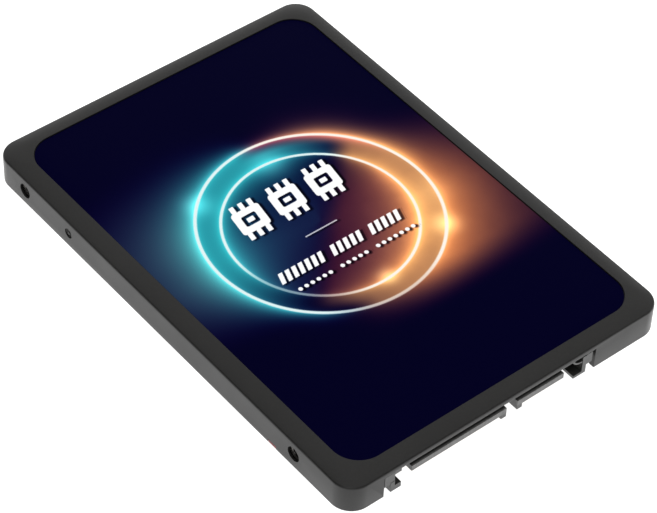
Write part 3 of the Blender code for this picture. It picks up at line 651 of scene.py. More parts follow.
def label_art(x, y, cloud):
    """Red, green and blue, as a display shows them, of two rings of light over navy.

    The glow is teal to the left and amber to the right, and a few plain symbols stand inside the rings.
    """
    dx = x - OUTER_RING[0]
    dy = y - OUTER_RING[1]
    outer = root(dx * dx + dy * dy)
    cosine = dx / outer
    sine = dy / outer
    ex = x - INNER_RING[0]
    ey = y - INNER_RING[1]
    inner = root(ex * ex + ey * ey)

    across = smooth(19.0, OUTER_RING[2], outer)
    warm_inner = smooth(-4.0, 4.0, x - y * 0.99 - 1.5)
    warm_outer = smooth(-3.5, 3.5, x - y * 0.17 + 3.7)
    warm = mixed(warm_inner, warm_outer, across)
    cool = 1.0 - warm
    teal_side = cosine * -0.669 + sine * 0.743
    left_side = cosine * -0.906 + sine * 0.423
    amber_side = cosine * 0.866 - sine * 0.5
    beyond = larger(outer - OUTER_RING[2], 0.0)
    within = larger(INNER_RING[2] - inner, 0.0)
    outside = smooth(-0.4, 0.4, outer - OUTER_RING[2])
    inside = smooth(0.4, -0.4, inner - INNER_RING[2])
    between = (1.0 - outside) * (1.0 - inside)
    outer_line = absolute(outer - OUTER_RING[2])
    inner_line = absolute(inner - INNER_RING[2])
    smoke = smooth(0.35, 0.75, cloud)

    # Teal: the haze to the left edge, the annulus and the glow each side of it.
    teal_reach = smooth(0.3, 1.0, left_side) * 2.6 + 1.1
    teal_out = fade(beyond, teal_reach) * smooth(-0.1, 0.5, left_side) * outside * cool
    teal_in = fade(within, 2.6) * 0.32 + fade(within, 8.0) * 0.26
    teal_in = teal_in * smooth(-0.1, 0.85, teal_side) * inside * cool
    near_lines = fade(inner_line, 1.1) * 0.16 + fade(outer_line, 0.9) * 0.10
    teal_mid = between * smooth(-0.25, 0.85, teal_side) * cool * (near_lines + 0.52)
    haze = smooth(31.0, 7.0, y) * smooth(-17.0, 2.0, y) * smooth(2.0, -18.0, x) * outside
    haze = haze * (smooth(-42.0, -20.0, x) * 0.6 + 0.4)
    teal = teal_out * 0.54 + teal_in + teal_mid

    # Amber: the annulus, the glow inside it and above right, and a wide brown haze below right.
    upper = smooth(-6.0, 10.0, y)
    amber_out = fade(beyond, 2.4) * smooth(-0.5, 0.25, amber_side) * upper * outside
    amber_mid = smooth(-0.5, 0.8, amber_side) * 0.72 + smooth(0.8, 1.0, amber_side) * 0.12
    amber_mid = amber_mid * between
    inner_halo = fade(inner_line, 1.7) * smooth(-0.3, 0.5, amber_side) * 0.34
    amber = (amber_out * 0.84 + amber_mid + inner_halo) * warm
    ember = fade(within, 7.0) * larger(cosine * 0.78 - sine * 0.62, 0.0) * inside * warm
    rows = smooth(17.0, -9.0, y) * smooth(-29.5, -19.5, y)
    brown = rows * fade(beyond, 11.0) * smooth(-14.0, 16.0, x) * outside
    rose = smooth(-3.0, 3.0, x) * smooth(4.0, 16.0, y) * fade(absolute(outer - 21.5), 0.9)
    mist = inside * smooth(13.0, 0.0, y)

    # Bright cores: the two lines of light, the bloom round them and the flares along them.
    faint_below = 1.0 - smooth(0.80, 1.0, sine * -1.0 - cosine * 0.05) * 0.30
    faint_left = 1.0 - smooth(0.70, 1.0, cosine * -0.77 - sine * 0.64) * 0.50
    inner_core = smooth(0.44, 0.12, inner_line) * faint_left
    core = larger(smooth(0.49, 0.14, outer_line) * faint_below, inner_core)
    bloom = fade(outer_line, 0.8) * (outside * 0.22 + 0.16) * (faint_below * 2.6 - 1.6)
    bloom = bloom + fade(inner_line, 0.6) * 0.22 * faint_left
    flare = flare_at(x, y, (17.0, -13.6), 2.4) * 0.42 + flare_at(x, y, (0.6, -17.3), 1.8) * 0.35
    flare = flare + flare_at(x, y, (20.5, -6.0), 4.0) * 0.10
    chill = flare_at(x, y, (-15.0, 16.0), 2.6) * 0.30 + flare_at(x, y, (1.5, 16.6), 3.2) * 0.24

    lights = (
        (haze, (0.17, 0.25, 0.20)),
        (teal, (0.25, 1.04, 0.88)),
        (amber, (0.86, 0.615, 0.24)),
        (brown, (0.86, 0.52, 0.17)),
        (ember, (0.70, 0.49, 0.17)),
        (rose, (0.42, 0.16, 0.16)),
        (mist, (0.06, 0.05, 0.03)),
        (mist * warm, (0.08, 0.0, 0.0)),
        (mist * cool, (0.0, 0.04, 0.06)),
        (smoke * (amber * 0.5 + brown * 0.35 + ember * 0.8), (0.14, 0.10, 0.06)),
        (bloom * warm, (0.90, 0.75, 0.42)),
        (bloom * cool, (0.35, 0.80, 0.80)),
        (flare, (0.90, 0.85, 0.55)),
        (chill, (0.45, 0.80, 0.75)),
    )
    whites = (0.97 - cool * 0.10, 0.94, 0.90 + cool * 0.04)
    ink = white_symbols(x, y, 0.0)
    shadow = white_symbols(x - 0.45, y + 0.35, 0.22)
    colours = []
    for channel, white in enumerate(whites):
        level = NAVY[channel]
        for light, tint in lights:
            if tint[channel]:
                level = level + light * tint[channel]
        level = mixed(level, white, core) * (1.0 - shadow * SHADOW_TINT[channel])
        colours.append(mixed(level, INK, ink))
    return colours


def mixed(first, second, amount):
    return first + (second - first) * amount


def fade(distance, reach):
    """Falls from 1 at no distance, to about a third at the reach."""
    return exponential(distance / reach * -1.0)


def flare_at(x, y, place, reach):
    dx = x - place[0]
    dy = y - place[1]
    return fade(dx * dx + dy * dy, reach * reach)


CHIP_ROW_Y = 7.8
CHIP_ROW_X = -1.55
CHIP_PITCH = 8.1
CHIP_LEAN = 0.16
STRIPE_ROW_Y = -6.8
STRIPE_PITCH = 1.42
STRIPE_LEAN = 0.35
STRIPE_GROUPS = ((-9.94, 4.97), (0.0, 3.55), (8.52, 3.55))
DOT_ROW_Y = -10.6
DOT_PITCH = 1.32
DOT_GROUPS = ((-9.9, 3.96), (-1.32, 3.3), (7.92, 4.62))


def white_symbols(x, y, blur):
    """Three chip pictograms, a short rule, a row of slanted stripes and a row of dots."""
    edge = 0.10 + blur
    lean = x - CHIP_ROW_X - (y - CHIP_ROW_Y) * CHIP_LEAN
    chip_x = wrapped(lean, CHIP_PITCH)
    chip_y = y - CHIP_ROW_Y
    body = slab(chip_x, chip_y, 3.0, 2.75, 0.7)
    window = slab(chip_x, chip_y, 1.5, 1.25, 0.35)
    die = slab(chip_x, chip_y, 0.75, 0.55, 0.2)
    legs = slab(wrapped(chip_x, 1.9), absolute(chip_y) - 3.5, 0.5, 0.85, 0.15)
    legs = larger(legs, absolute(chip_x) - 2.7)
    shape = smaller(larger(smaller(body, legs), window * -1.0), die)
    three = smooth(12.4, 12.2, absolute(lean))
    symbols = smooth(edge, -edge, shape) * three
    rule = slab(x + 1.3, y + 1.4, 3.5, 0.14, 0.1)
    symbols = larger(symbols, smooth(edge, -edge, rule) * 0.75)
    stripe_y = y - STRIPE_ROW_Y
    stripe_x = x - stripe_y * STRIPE_LEAN
    stripes = slab(wrapped(stripe_x, STRIPE_PITCH), stripe_y, 0.46, 1.25, 0.12)
    stripes = larger(stripes, row_gaps(stripe_x, STRIPE_GROUPS))
    symbols = larger(symbols, smooth(edge, -edge, stripes))
    dot_x = wrapped(x, DOT_PITCH)
    dot_y = y - DOT_ROW_Y
    dots = larger(root(dot_x * dot_x + dot_y * dot_y) - 0.42, row_gaps(x, DOT_GROUPS))
    return larger(symbols, smooth(edge, -edge, dots))


def row_gaps(x, groups):
    """Distance outside the nearest of several stretches of a row, each a centre and a half length."""
    nearest = None
    for centre, half in groups:
        gap = absolute(x - centre) - half
        nearest = gap if nearest is None else smaller(nearest, gap)
    return nearest


def printed_label():
    """The label's glossy film over its print."""
    paint = Paint("printed_label", (0.002, 0.0, 0.016), 0.30, IOR=1.06)
    x, y, _ = paint.axes()
    cloud = paint.noise(9.0, 4.0, 0.55)
    join = paint.tree.nodes.new("ShaderNodeCombineColor")
    for value, socket in zip(label_art(x, y, cloud), join.inputs):
        paint.tree.links.new(larger(value * PRINT_LEVEL, 0.0).source, socket)
    gamma = paint.tree.nodes.new("ShaderNodeGamma")
    gamma.inputs["Gamma"].default_value = 2.2
    paint.tree.links.new(join.outputs[0], gamma.inputs["Color"])
    paint.colour(gamma.outputs[0])
    film = paint.noise(4.0, 3.0)
    paint.roughness(film * 0.10 + 0.30)
    paint.bump(film, 0.01, 0.25)
    return paint.material


# ==== The case ====
def screw_rows():
    """Y of the two rows of corner nuts."""
    return [plan(*box_mm(f"mount_nut_{number}"))[0][1] for number in (1, 3)]


def shell_ring(inset, z):
    """A ring of the case's outline, moved in from its outer face."""
    radius = max(CORNER_RADIUS - inset, 0.4)
    return ring_points(HALF_X - inset, HALF_Y - inset, radius, (0, 0), z)


def label_ring(out, z):
    """A ring of the label's outline, moved out from its edge."""
    half_x, half_y = LABEL_HALF
    return ring_points(half_x + out, half_y + out, LABEL_RADIUS + out, LABEL_MIDDLE, z)


def rounding(radius, steps):
    """Pairs of distances round a quarter circle, from (radius, 0) to (0, radius)."""
    turns = [math.pi / 2 * step / steps for step in range(steps + 1)]
    return [(radius * (1 - math.sin(turn)), radius * (1 - math.cos(turn))) for turn in turns]


def rim_profile():
    """Inset and height up the outer face, from the wall round a tight crease to the sloping border."""
    points = []
    for step in range(9):
        turn = math.radians(CREASE_ANGLE * step / 8)
        points.append((CREASE_RADIUS * (1 - math.cos(turn)), RIM_START + CREASE_RADIUS * math.sin(turn)))
    return points


def make_top_shell(material):
    """The lofted shell: ceiling, inner wall, foot, outer wall, rim, sloping border and label recess."""
    rings = [shell_ring(WALL + out, CEILING - down) for out, down in rounding(CEILING_FILLET, 5)]
    rings += [shell_ring(WALL, EDGE), shell_ring(WALL - EDGE, 0.0)]
    rings += [shell_ring(inset, z) for inset, z in rounding(FOOT_EDGE, 3)]
    rings += [shell_ring(inset, z) for inset, z in rim_profile()]
    rings += [label_ring(RECESS_GAP + out, TOP - down) for out, down in rounding(RECESS_EDGE, 4)]
    rings.append(label_ring(RECESS_GAP, TOP - RECESS_DEPTH))
    solid = cut_solid(loft(rings), [gather(under_ceiling())], "UNION")
    solid = cut_solid(solid, shell_cuts())
    soften(piece("case_top", solid, material, "lid", ["top_shell"]), SHELL_EDGE)


def under_ceiling():
    """Posts that keep the board down and low ribs that stiffen the roof between them."""
    solids = []
    high = CEILING + ROOT_OVERLAP
    for x, y in POST_PLACES:
        solids.append(rod((x, y, (POST_LOW + high) / 2), POST_RADIUS, high - POST_LOW))
    half_x, half_y = RIB_HALF
    for y in RIB_Y:
        solids.append(block((-half_x, y - half_y, CEILING - RIB_DEPTH), (half_x, y + half_y, high)))
    return solids


def shell_cuts():
    """The plug's opening with its rounded lip, the side holes, the tab windows and the seal's recess."""
    cuts = [opening_cutter(CUT_OUT, LIP, LIP_RADIUS)]
    cuts += [opening_cutter(stretch, GUIDE_LIP, GUIDE_LIP_RADIUS) for stretch in GUIDE_STRETCHES]
    holes = []
    windows = []
    long, deep, _ = TAB_WINDOW
    for side in (-1, 1):
        middle = side * (HALF_X - WALL / 2)
        for y in screw_rows():
            holes.append(rod((middle, y, SIDE_HOLE_Z), SIDE_HOLE_RADIUS, WALL * 2, "X"))
        holes.append(dimple(side))
        for y in TAB_Y:
            windows.append(window((side * (HALF_X - WALL), y), (deep, long / 2)))
    for x in REAR_TAB_X:
        windows.append(window((x, HALF_Y - WALL), (long / 2, deep)))
    low, high = box_mm("seal_sticker")
    (_, middle_y), (_, half_y) = plan(low, high)
    radius = half_y + FIT
    recess = rod((high.x + FIT - radius, middle_y, 0.1), radius, 0.3, segments=64)
    notch_low = (low.x - FIT, middle_y - SEAL_NOTCH, -0.1)
    notch = block(notch_low, (low.x + 0.2, middle_y + SEAL_NOTCH, high.z + FIT))
    return [*cuts, gather(holes), gather(windows), gather(nut_pockets()), recess, notch]


def window(centre, half):
    """A seat for one snap tab in a wall's inner face."""
    half_z = TAB_WINDOW[2] / 2
    return block(*around(centre, half, SIDE_HOLE_Z - half_z, SIDE_HOLE_Z + half_z))


def opening_cutter(stretch, lip, radius):
    """The space below the front wall's lip along a stretch of X, with the lip's outer edge rounded."""
    outline = [(FRONT - 1, -1), (FRONT - 1, lip + radius)]
    outline += [(FRONT + back, lip + up) for up, back in rounding(radius, 6)]
    outline += [(FRONT + WALL + 1.2, lip), (FRONT + WALL + 1.2, -1)]
    return loft([[Vector((x, y, z)) for y, z in outline] for x in stretch])


def dimple(side):
    """A shallow round recess in a long side, with a small raised pip left standing at its middle."""
    floor = side * (HALF_X - DIMPLE_DEPTH)
    mouth = side * (HALF_X + 1)
    rings = []
    for radius, x in (
        (0.02, floor + side * PIP_HEIGHT),
        (PIP_RADIUS * 0.55, floor + side * PIP_HEIGHT * 0.87),
        (PIP_RADIUS * 0.87, floor + side * PIP_HEIGHT * 0.5),
        (PIP_RADIUS, floor),
        (DIMPLE_RADIUS - 0.1, floor),
        (DIMPLE_RADIUS, floor + side * 0.1),
        (DIMPLE_RADIUS, mouth),
    ):
        rings.append(side_ring(radius, x, TAB_Y[-1], SIDE_HOLE_Z))
    return loft(rings)


def side_ring(radius, x, y, z, segments=40):
    """A circle facing along X."""
    return [Vector((x, y + out, z + up)) for out, up in circle(radius, segments)]


def nut_pockets():
    """Seats in the long walls that hold the threaded nuts."""
    pockets = []
    for number in range(1, 5):
        low, high = box_mm(f"mount_nut_{number}")
        pockets.append(block(low - Vector((FIT,) * 3), high + Vector((FIT,) * 3)))
    return pockets


def make_nuts(material):
    """The four side nuts, each with a threaded bore that opens outwards."""
    for number in range(1, 5):
        name = f"mount_nut_{number}"
        low, high = box_mm(name)
        side = 1 if low.x > 0 else -1
        face = high.x if side > 0 else low.x
        body = cut_solid(block(low, high), [thread_cutter(face, side, plan(low, high)[0][1])])
        nut = piece(f"threaded_nut_{number}", body, material, "lid", [name])
        soften(nut, NUT_EDGE, 2, 60)


def thread_cutter(face, side, middle_y):
    """The space inside a screw thread: a bore whose radius rises and falls along a helix."""
    steps = 8
    segments = 36
    count = int(THREAD_DEPTH / THREAD_PITCH * steps)
    rings = []
    for index in range(-steps, count + 1):
        along = index / steps
        x = face - side * along * THREAD_PITCH
        ring = []
        for step, (out, up) in enumerate(circle(1.0, segments)):
            phase = (along - step / segments) % 1.0
            radius = THREAD_CREST + (THREAD_ROOT - THREAD_CREST) * (1 - abs(phase * 2 - 1))
            ring.append(Vector((x, middle_y + radius * out, SIDE_HOLE_Z + radius * up)))
        rings.append(ring)
    return loft(rings)


def make_label(material):
    """The label film, with a rounded cut edge."""
    rings = [label_ring(0.0, LABEL_LOW.z)]
    rings += [label_ring(-inset, LABEL_HIGH.z - down) for down, inset in rounding(FILM_EDGE, 3)]
    piece("label_film", loft(rings), material, "lid", ["top_label"])


# ==== What the case holds ====
BALL_PITCH = 0.8
BALL_RADIUS = 0.2
BALL_RINGS = 2
SUBSTRATE = 0.26
COPPER = 0.035
TRACK_WIDTH = 0.16
TRACK_PITCH = 0.34
TRACK_LOW = BOARD_TOP - 0.01
TRACK_HIGH = BOARD_TOP + COPPER
BLOCK_CORNER = 0.12
CAP_INSET = 0.02
PIN_MARK = ((0.01, -0.12), (0.3, -0.10), (0.42, 0.0), (0.44, 0.2), (0.01, 0.2))
MOULD_MARK = ((0.01, -0.03), (0.8, -0.03), (0.82, 0.2), (0.01, 0.2))
SMALL_PIN_MARK = ((0.01, -0.08), (0.22, -0.07), (0.3, 0.0), (0.32, 0.2), (0.01, 0.2))
LAND_PITCH = 0.62
LAND_OUT = 0.12
FRAME_GAP = 0.35
FIDUCIALS = ((-26.0, -31.0), (26.0, -31.0), (18.6, 18.6))
PART_LENGTH = 1.0
PART_WIDTH = 0.5
PART_HEIGHT = {"capacitor": 0.5, "resistor": 0.34}
PART_END = 0.12
PART_ROOM = 0.12
PART_MARGIN = 0.1
PART_FOOT = 0.03
END_HALF = 0.13
MOUND_LENGTH = 0.46
MOUND_SIDE = 0.12

# Leaded chips: centre, size of the body, leads on each side, their pitch and how far out they reach.
LEADED_CHIPS = (
    ((-8.2, -32.6), (4.9, 3.9, 1.3), 4, 1.27, 3.0),
    ((14.6, -32.6), (2.9, 1.5, 1.0), 3, 0.95, 1.4),
    ((18.6, -32.6), (2.9, 1.5, 1.0), 3, 0.95, 1.4),
)

# Small parts away from the packages: X of each column or Y of each row, the ends of one, and its count.
RIGHT_COLUMNS = (21.6, 23.2, 24.8, 26.2), (-17.4, -4.4), 9
LEFT_COLUMNS = (-26.2, -24.6, -23.0, -21.4), (-11.6, -4.6), 6
PLUG_ROWS = (-36.4, -34.8, -30.6)
PLUG_ROW_ENDS = ((-12.5, -3.5), (11.5, 20.5))

# Tracks: lanes to the flash, to the memory and to the plug.
BUS_LANES = 9
BUS_PITCH = 3.3
LANE_STEP = 0.36
MEMORY_LANES = 13
MEMORY_START_Y = -24.4
MEMORY_PITCH = 0.86
PLUG_LANES_X = (4.4, 4.75, 6.94, 7.29)
PLUG_TAIL_Y = -37.9
VIA_COUNT = 520
VIA_SEED = 11
VIA_RADII = (0.1, 0.24)
SCREW_PAD_RADII = (1.2, 2.5)


def washer(centre, inner, outer, low, high, segments=32):
    """A flat ring."""
    rings = []
    for radius, z in ((inner, low), (outer, low), (outer, high), (inner, high)):
        rings.append([(centre[0] + x, centre[1] + y, z) for x, y in circle(radius, segments)])
    return loft(rings, closed=True)


def track(points, width=TRACK_WIDTH, low=TRACK_LOW, high=TRACK_HIGH):
    """A flat ribbon along a line of (x, y) points."""
    rings = []
    for index in range(len(points)):
        before = Vector(points[max(index - 1, 0)])
        after = Vector(points[min(index + 1, len(points) - 1)])
        along = (after - before).normalized()
        side = Vector((-along.y, along.x)) * width / 2
        left = Vector(points[index]) + side
        right = Vector(points[index]) - side
        corners = ((left, low), (right, low), (right, high), (left, high))
        rings.append([(*corner, z) for corner, z in corners])
    return loft(rings)


def tapered(low, high, shrink, rise):
    """A block whose upper part leans in by shrink over a height of rise below the top."""
    middle, (half_x, half_y) = plan(low, high)
    rings = []
    for inset, z in ((0.0, low[2]), (0.0, high[2] - rise), (shrink, high[2])):
        rings.append(ring_points(half_x - inset, half_y - inset, BLOCK_CORNER, middle, z, 3))
    return loft(rings)


def ball(centre, radius, height):
    """A solder ball squashed between two faces."""
    profile = []
    for step in range(6):
        angle = math.pi * (step / 5 - 0.5) * 0.8
        profile.append((radius * math.cos(angle), height / 2 * math.sin(angle) / math.sin(math.pi * 0.4)))
    return turned(profile, centre, 10)


def grid_chip(node, laminate, epoxy, tin):
    """A ball grid package: balls, a thin laminate and a moulded cap with a pin-one dimple."""
    low, high = box_mm(node)
    seam = low.z + SUBSTRATE
    middle, (half_x, half_y) = plan(low, high)
    cap = tapered(*around(middle, (half_x - CAP_INSET, half_y - CAP_INSET), seam, high.z), 0.06, 0.3)
    pin = turned(PIN_MARK, (low.x + 1.2, high.y - 1.2, high.z))
    mould = turned(MOULD_MARK, (high.x - 2.0, low.y + 2.0, high.z), 40)
    cap = cut_solid(cap, [gather([pin, mould])])
    piece(f"{node}_cap", cap, epoxy, "base", [node])
    base = soft_block(low, (high.x, high.y, seam), 0.03, 1)
    piece(f"{node}_laminate", base, laminate, "base")
    balls = []
    last_x = int((high.x - low.x - 1.0) / BALL_PITCH)
    last_y = int((high.y - low.y - 1.0) / BALL_PITCH)
    for column in range(last_x + 1):
        for row in range(last_y + 1):
            if min(column, last_x - column, row, last_y - row) < BALL_RINGS:
                x = middle[0] + (column - last_x / 2) * BALL_PITCH
                y = middle[1] + (row - last_y / 2) * BALL_PITCH
                balls.append(ball((x, y, (BOARD_TOP + low.z) / 2), BALL_RADIUS, low.z - BOARD_TOP))
    piece(f"{node}_balls", gather(balls), tin, "base")


def leadless_chip(node, epoxy, tin):
    """A small square package with flat metal lands round its lower edge."""
    low, high = box_mm(node)
    pin = turned(SMALL_PIN_MARK, (low.x + 0.8, high.y - 0.8, high.z))
    body = cut_solid(tapered(low, high, 0.08, 0.5), [pin])
    piece(f"{node}_body", body, epoxy, "base", [node])
    (x, y), (half_x, half_y) = plan(low, high)
    lands = []
    for index in range(7):
        shift = (index - 3) * LAND_PITCH
        for side in (-1, 1):
            along_x = (x + shift, y + side * (half_y + LAND_OUT))
            along_y = (x + side * (half_x + LAND_OUT), y + shift)
            lands.append(land(along_x, (0.15, 0.18), low.z + 0.14))
            lands.append(land(along_y, (0.18, 0.15), low.z + 0.14))
    piece(f"{node}_lands", gather(lands), tin, "base")


def land(centre, half, high):
    """A small metal pad that stands on the board."""
    return tapered(*around(centre, half, BOARD_TOP, high), 0.05, 0.08)


def strap(first_x, second_x, middle_y, half_y, high, edge):
    """A fold of metal that stands on the board, from one X to another."""
    low = (first_x, middle_y - half_y, BOARD_TOP)
    return soft_block(low, (second_x, middle_y + half_y, high), edge, 1)


def wound_inductor(node, ferrite, tin):
    """A moulded power inductor: a pressed body with clipped corners and a strap at each end."""
    low, high = box_mm(node)
    middle, (half, _) = plan(low, high)
    half -= 0.08
    rings = []
    for inset, z in ((0.0, low.z), (0.0, high.z - 0.25), (0.06, high.z - 0.08), (0.2, high.z)):
        rings.append(ring_points(half - inset, half - inset, 0.7, middle, z, 4))
    groove = washer(middle, 0.95, 1.05, high.z - 0.04, high.z + 0.2, 40)
    core = cut_solid(loft(rings), [groove])
    piece(f"{node}_core", core, ferrite, "base", [node])
    straps = []
    for side in (-1, 1):
        end = middle[0] + side * (half + 0.02)
        straps.append(strap(end, end - side * 0.9, middle[1], 1.1, low.z + 0.02, 0.04))
        straps.append(strap(end, end + side * 0.1, middle[1], 1.1, low.z + 0.9, 0.03))
    piece(f"{node}_straps", gather(straps), tin, "base")


def moulded_capacitor(node, amber, band, tin):
    """A moulded capacitor: a drafted body, a raised polarity band and a folded strap at each end."""
    low, high = box_mm(node)
    body = tapered((low.x + 0.12, low.y, low.z), (high.x - 0.12, high.y, high.z - 0.02), 0.16, 0.9)
    piece(f"{node}_body", body, amber, "base", [node])
    stripe = block((low.x + 0.36, low.y + 0.22, high.z - 0.06), (low.x + 0.86, high.y - 0.22, high.z))
    piece(f"{node}_band", stripe, band, "base")
    middle_y = plan(low, high)[0][1]
    straps = []
    for end, side in ((low.x, -1), (high.x, 1)):
        straps.append(strap(end, end - side * 0.1, middle_y, 0.95, low.z + 0.8, 0.03))
        straps.append(strap(end, end - side * 0.8, middle_y, 0.95, low.z, 0.03))
    piece(f"{node}_straps", gather(straps), tin, "base")


def crystal_can(tin, ceramic):
    """A ceramic boat with a seam-welded metal lid."""
    low, high = box_mm("crystal")
    boat = tapered(low, (high.x, high.y, low.z + 0.42), 0.02, 0.05)
    piece("crystal_boat", boat, ceramic, "base", ["crystal"])
    middle, (half_x, half_y) = plan(low, high)
    rings = []
    for inset, z in ((0.08, 0.42), (0.08, 0.5), (0.2, 0.52), (0.26, 0.66), (0.34, 0.7)):
        rings.append(ring_points(half_x - inset, half_y - inset, 0.3, middle, low.z + z, 5))
    piece("crystal_lid", loft(rings), tin, "base")
    lands = []
    for sx in (-1, 1):
        for sy in (-1, 1):
            place = (middle[0] + sx * (half_x - 0.35), middle[1] + sy * (half_y - 0.3))
            lands.append(land(place, (0.45, 0.4), low.z + 0.02))
    piece("crystal_lands", gather(lands), tin, "base")


# ---- Small parts ----
def taken_places():
    """Rectangles of the board that bigger parts, screws and the shell's posts already use."""
    taken = []
    for name in sorted(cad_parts):
        low, high = box_mm(name)
        on_board = low.z >= BOARD_TOP - 0.01 or name.startswith("board_screw")
        if on_board and not name.endswith(("_label", "_pad", "shell")) and "nut" not in name:
            taken.append((low.x - 0.3, low.y - 0.3, high.x + 0.3, high.y + 0.3))
    for x, y in POST_PLACES:
        taken.append((x - 1.7, y - 1.7, x + 1.7, y + 1.7))
    return taken


def is_free(taken, place, half_x, half_y):
    """Whether a part of these half sizes clears every rectangle taken and the board's edges."""
    x, y = place
    for left, front, right, rear in taken:
        if x + half_x > left and x - half_x < right and y + half_y > front and y - half_y < rear:
            return False
    inside_x = BOARD_LOW.x + 0.5 < x - half_x and x + half_x < BOARD_HIGH.x - 0.5
    return inside_x and BOARD_LOW.y + 2.5 < y - half_y and y + half_y < BOARD_HIGH.y - 0.5


def claim(taken, place, half_x, half_y, margin):
    """Marks a rectangle of the board as used, with a margin round it."""
    x, y = place
    taken.append((x - half_x - margin, y - half_y - margin, x + half_x + margin, y + half_y + margin))


def add_chip_part(kit, place, along_y, kind):
    """One two-ended part: a body between two soldered metal ends."""

    def way(along, across):
        return (across, along) if along_y else (along, across)

    x, y = place
    half_x, half_y = way(PART_LENGTH / 2, PART_WIDTH / 2)
    if not is_free(kit["taken"], place, half_x + PART_ROOM, half_y + PART_ROOM):
        return
    claim(kit["taken"], place, half_x, half_y, PART_MARGIN)
    height = PART_HEIGHT[kind]
    foot = BOARD_TOP + PART_FOOT
    top = foot + height
    body = way(PART_LENGTH / 2 - 0.22, PART_WIDTH / 2 - 0.02)
    kit[kind].append(soft_block(*around(place, body, foot + 0.02, top - 0.02), 0.03, 1))
    if kind == "resistor":
        glaze = way(PART_LENGTH / 2 - 0.24, PART_WIDTH / 2 - 0.04)
        kit["glaze"].append(block(*around(place, glaze, top - 0.03, top)))
    for side in (-1, 1):
        step_x, step_y = way(side * (PART_LENGTH / 2 - PART_END), 0.0)
        end = around((x + step_x, y + step_y), way(END_HALF, PART_WIDTH / 2), foot, top)
        kit["ends"].append(soft_block(*end, 0.05, 2))
        step_x, step_y = way(side * PART_LENGTH / 2, 0.0)
        size = way(MOUND_LENGTH, PART_WIDTH + MOUND_SIDE)
        kit["solder"].append(fillet((x + step_x, y + step_y), size, height * 0.45))


def fillet(centre, size, height):
    """A small mound of solder: wide at the board and narrow at the top."""
    rings = []
    for shrink, rise in ((0.0, 0.0), (0.05, 0.35), (0.11, 0.8), (0.16, 1.0)):
        half_x, half_y = size[0] / 2 - shrink, size[1] / 2 - shrink
        rings.append(ring_points(half_x, half_y, 0.04, centre, BOARD_TOP + height * rise, 2))
    return loft(rings)


def add_row(kit, start, end, count, along_y, kinds):
    """Small parts at even steps from start to end, with the kinds taken in turn."""
    for index in range(count):
        share = index / max(count - 1, 1)
        place = (start[0] + (end[0] - start[0]) * share, start[1] + (end[1] - start[1]) * share)
        add_chip_part(kit, place, along_y, kinds[index % len(kinds)])


def add_leaded_chip(kit, centre, body, pins, pitch, reach):
    """A small package with gull-wing leads on its two long sides."""
    x, y = centre
    length, width, height = body
    if not is_free(kit["taken"], centre, length / 2, reach):
        return
    claim(kit["taken"], centre, length / 2, reach, 0.2)
    foot = BOARD_TOP + 0.12
    low = (x - length / 2, y - width / 2, foot)
    kit["moulded"].append(tapered(low, (x + length / 2, y + width / 2, foot + height), 0.12, height / 2))
    for index in range(pins):
        lead_x = x + (index - (pins - 1) / 2) * pitch
        for side in (-1, 1):
            outline = []
            for out, z in ((0.0, 0.5), (0.22, 0.5), (0.4, 0.1), (1.0, 0.0)):
                share = width / 2 - 0.1 + out * (reach - width / 2 + 0.1)
                outline.append((y + side * share, foot - 0.06 + z * height))
            kit["leads"].append(bent_strip(outline, lead_x, 0.34, 0.12))
            kit["solder"].append(fillet((lead_x, y + side * (reach - 0.1)), (0.5, 0.6), 0.1))


def bent_strip(outline, x, width, thickness):
    """A metal strip of constant width that follows (y, z) points."""
    rings = []
    for y, z in outline:
        ring = []
        for dx, dz in ((-1, -1), (1, -1), (1, 1), (-1, 1)):
            ring.append(Vector((x + dx * width / 2, y, z + dz * thickness / 2)))
        rings.append(ring)
    return loft(rings)


def place_small_parts(kit):
    """Rows of ceramic capacitors and resistors where such a board has them."""
    cap = ("capacitor",)
    mixed_kinds = ("capacitor", "resistor", "capacitor", "capacitor")
    for number in range(1, 5):
        low, high = box_mm(f"flash_chip_{number}")
        middle = plan(low, high)[0][0]
        add_row(kit, (middle - 4.8, low.y - 1.1), (middle + 4.8, low.y - 1.1), 9, True, cap)
        add_row(kit, (middle - 4.2, high.y + 1.2), (middle + 4.2, high.y + 1.2), 6, True, mixed_kinds)
    low, high = box_mm("controller_chip")
    for x in (low.x - 1.2, low.x - 2.6):
        add_row(kit, (x, low.y + 0.6), (x, high.y - 0.6), 12, False, mixed_kinds)
    add_row(kit, (low.x + 0.6, low.y - 1.2), (high.x - 0.6, low.y - 1.2), 12, True, mixed_kinds)
    add_row(kit, (low.x + 0.6, low.y - 2.8), (high.x - 3.0, low.y - 2.8), 8, True, ("resistor",))
    low, high = box_mm("dram_chip")
    add_row(kit, (low.x + 0.4, high.y + 1.0), (high.x - 0.4, high.y + 1.0), 8, True, cap)
    add_row(kit, (low.x + 0.4, low.y - 1.0), (high.x - 0.4, low.y - 1.0), 8, True, mixed_kinds)
    low, high = box_mm("power_chip")
    add_row(kit, (high.x + 1.1, low.y), (high.x + 1.1, high.y), 5, False, cap)
    add_row(kit, (low.x, low.y - 1.1), (high.x, low.y - 1.1), 5, True, ("resistor",))
    for columns, (start, end), count in (RIGHT_COLUMNS, LEFT_COLUMNS):
        for x in columns:
            add_row(kit, (x, start), (x, end), count, False, mixed_kinds)
    for y in PLUG_ROWS:
        for start, end in PLUG_ROW_ENDS:
            add_row(kit, (start, y), (end, y), 7, True, mixed_kinds)


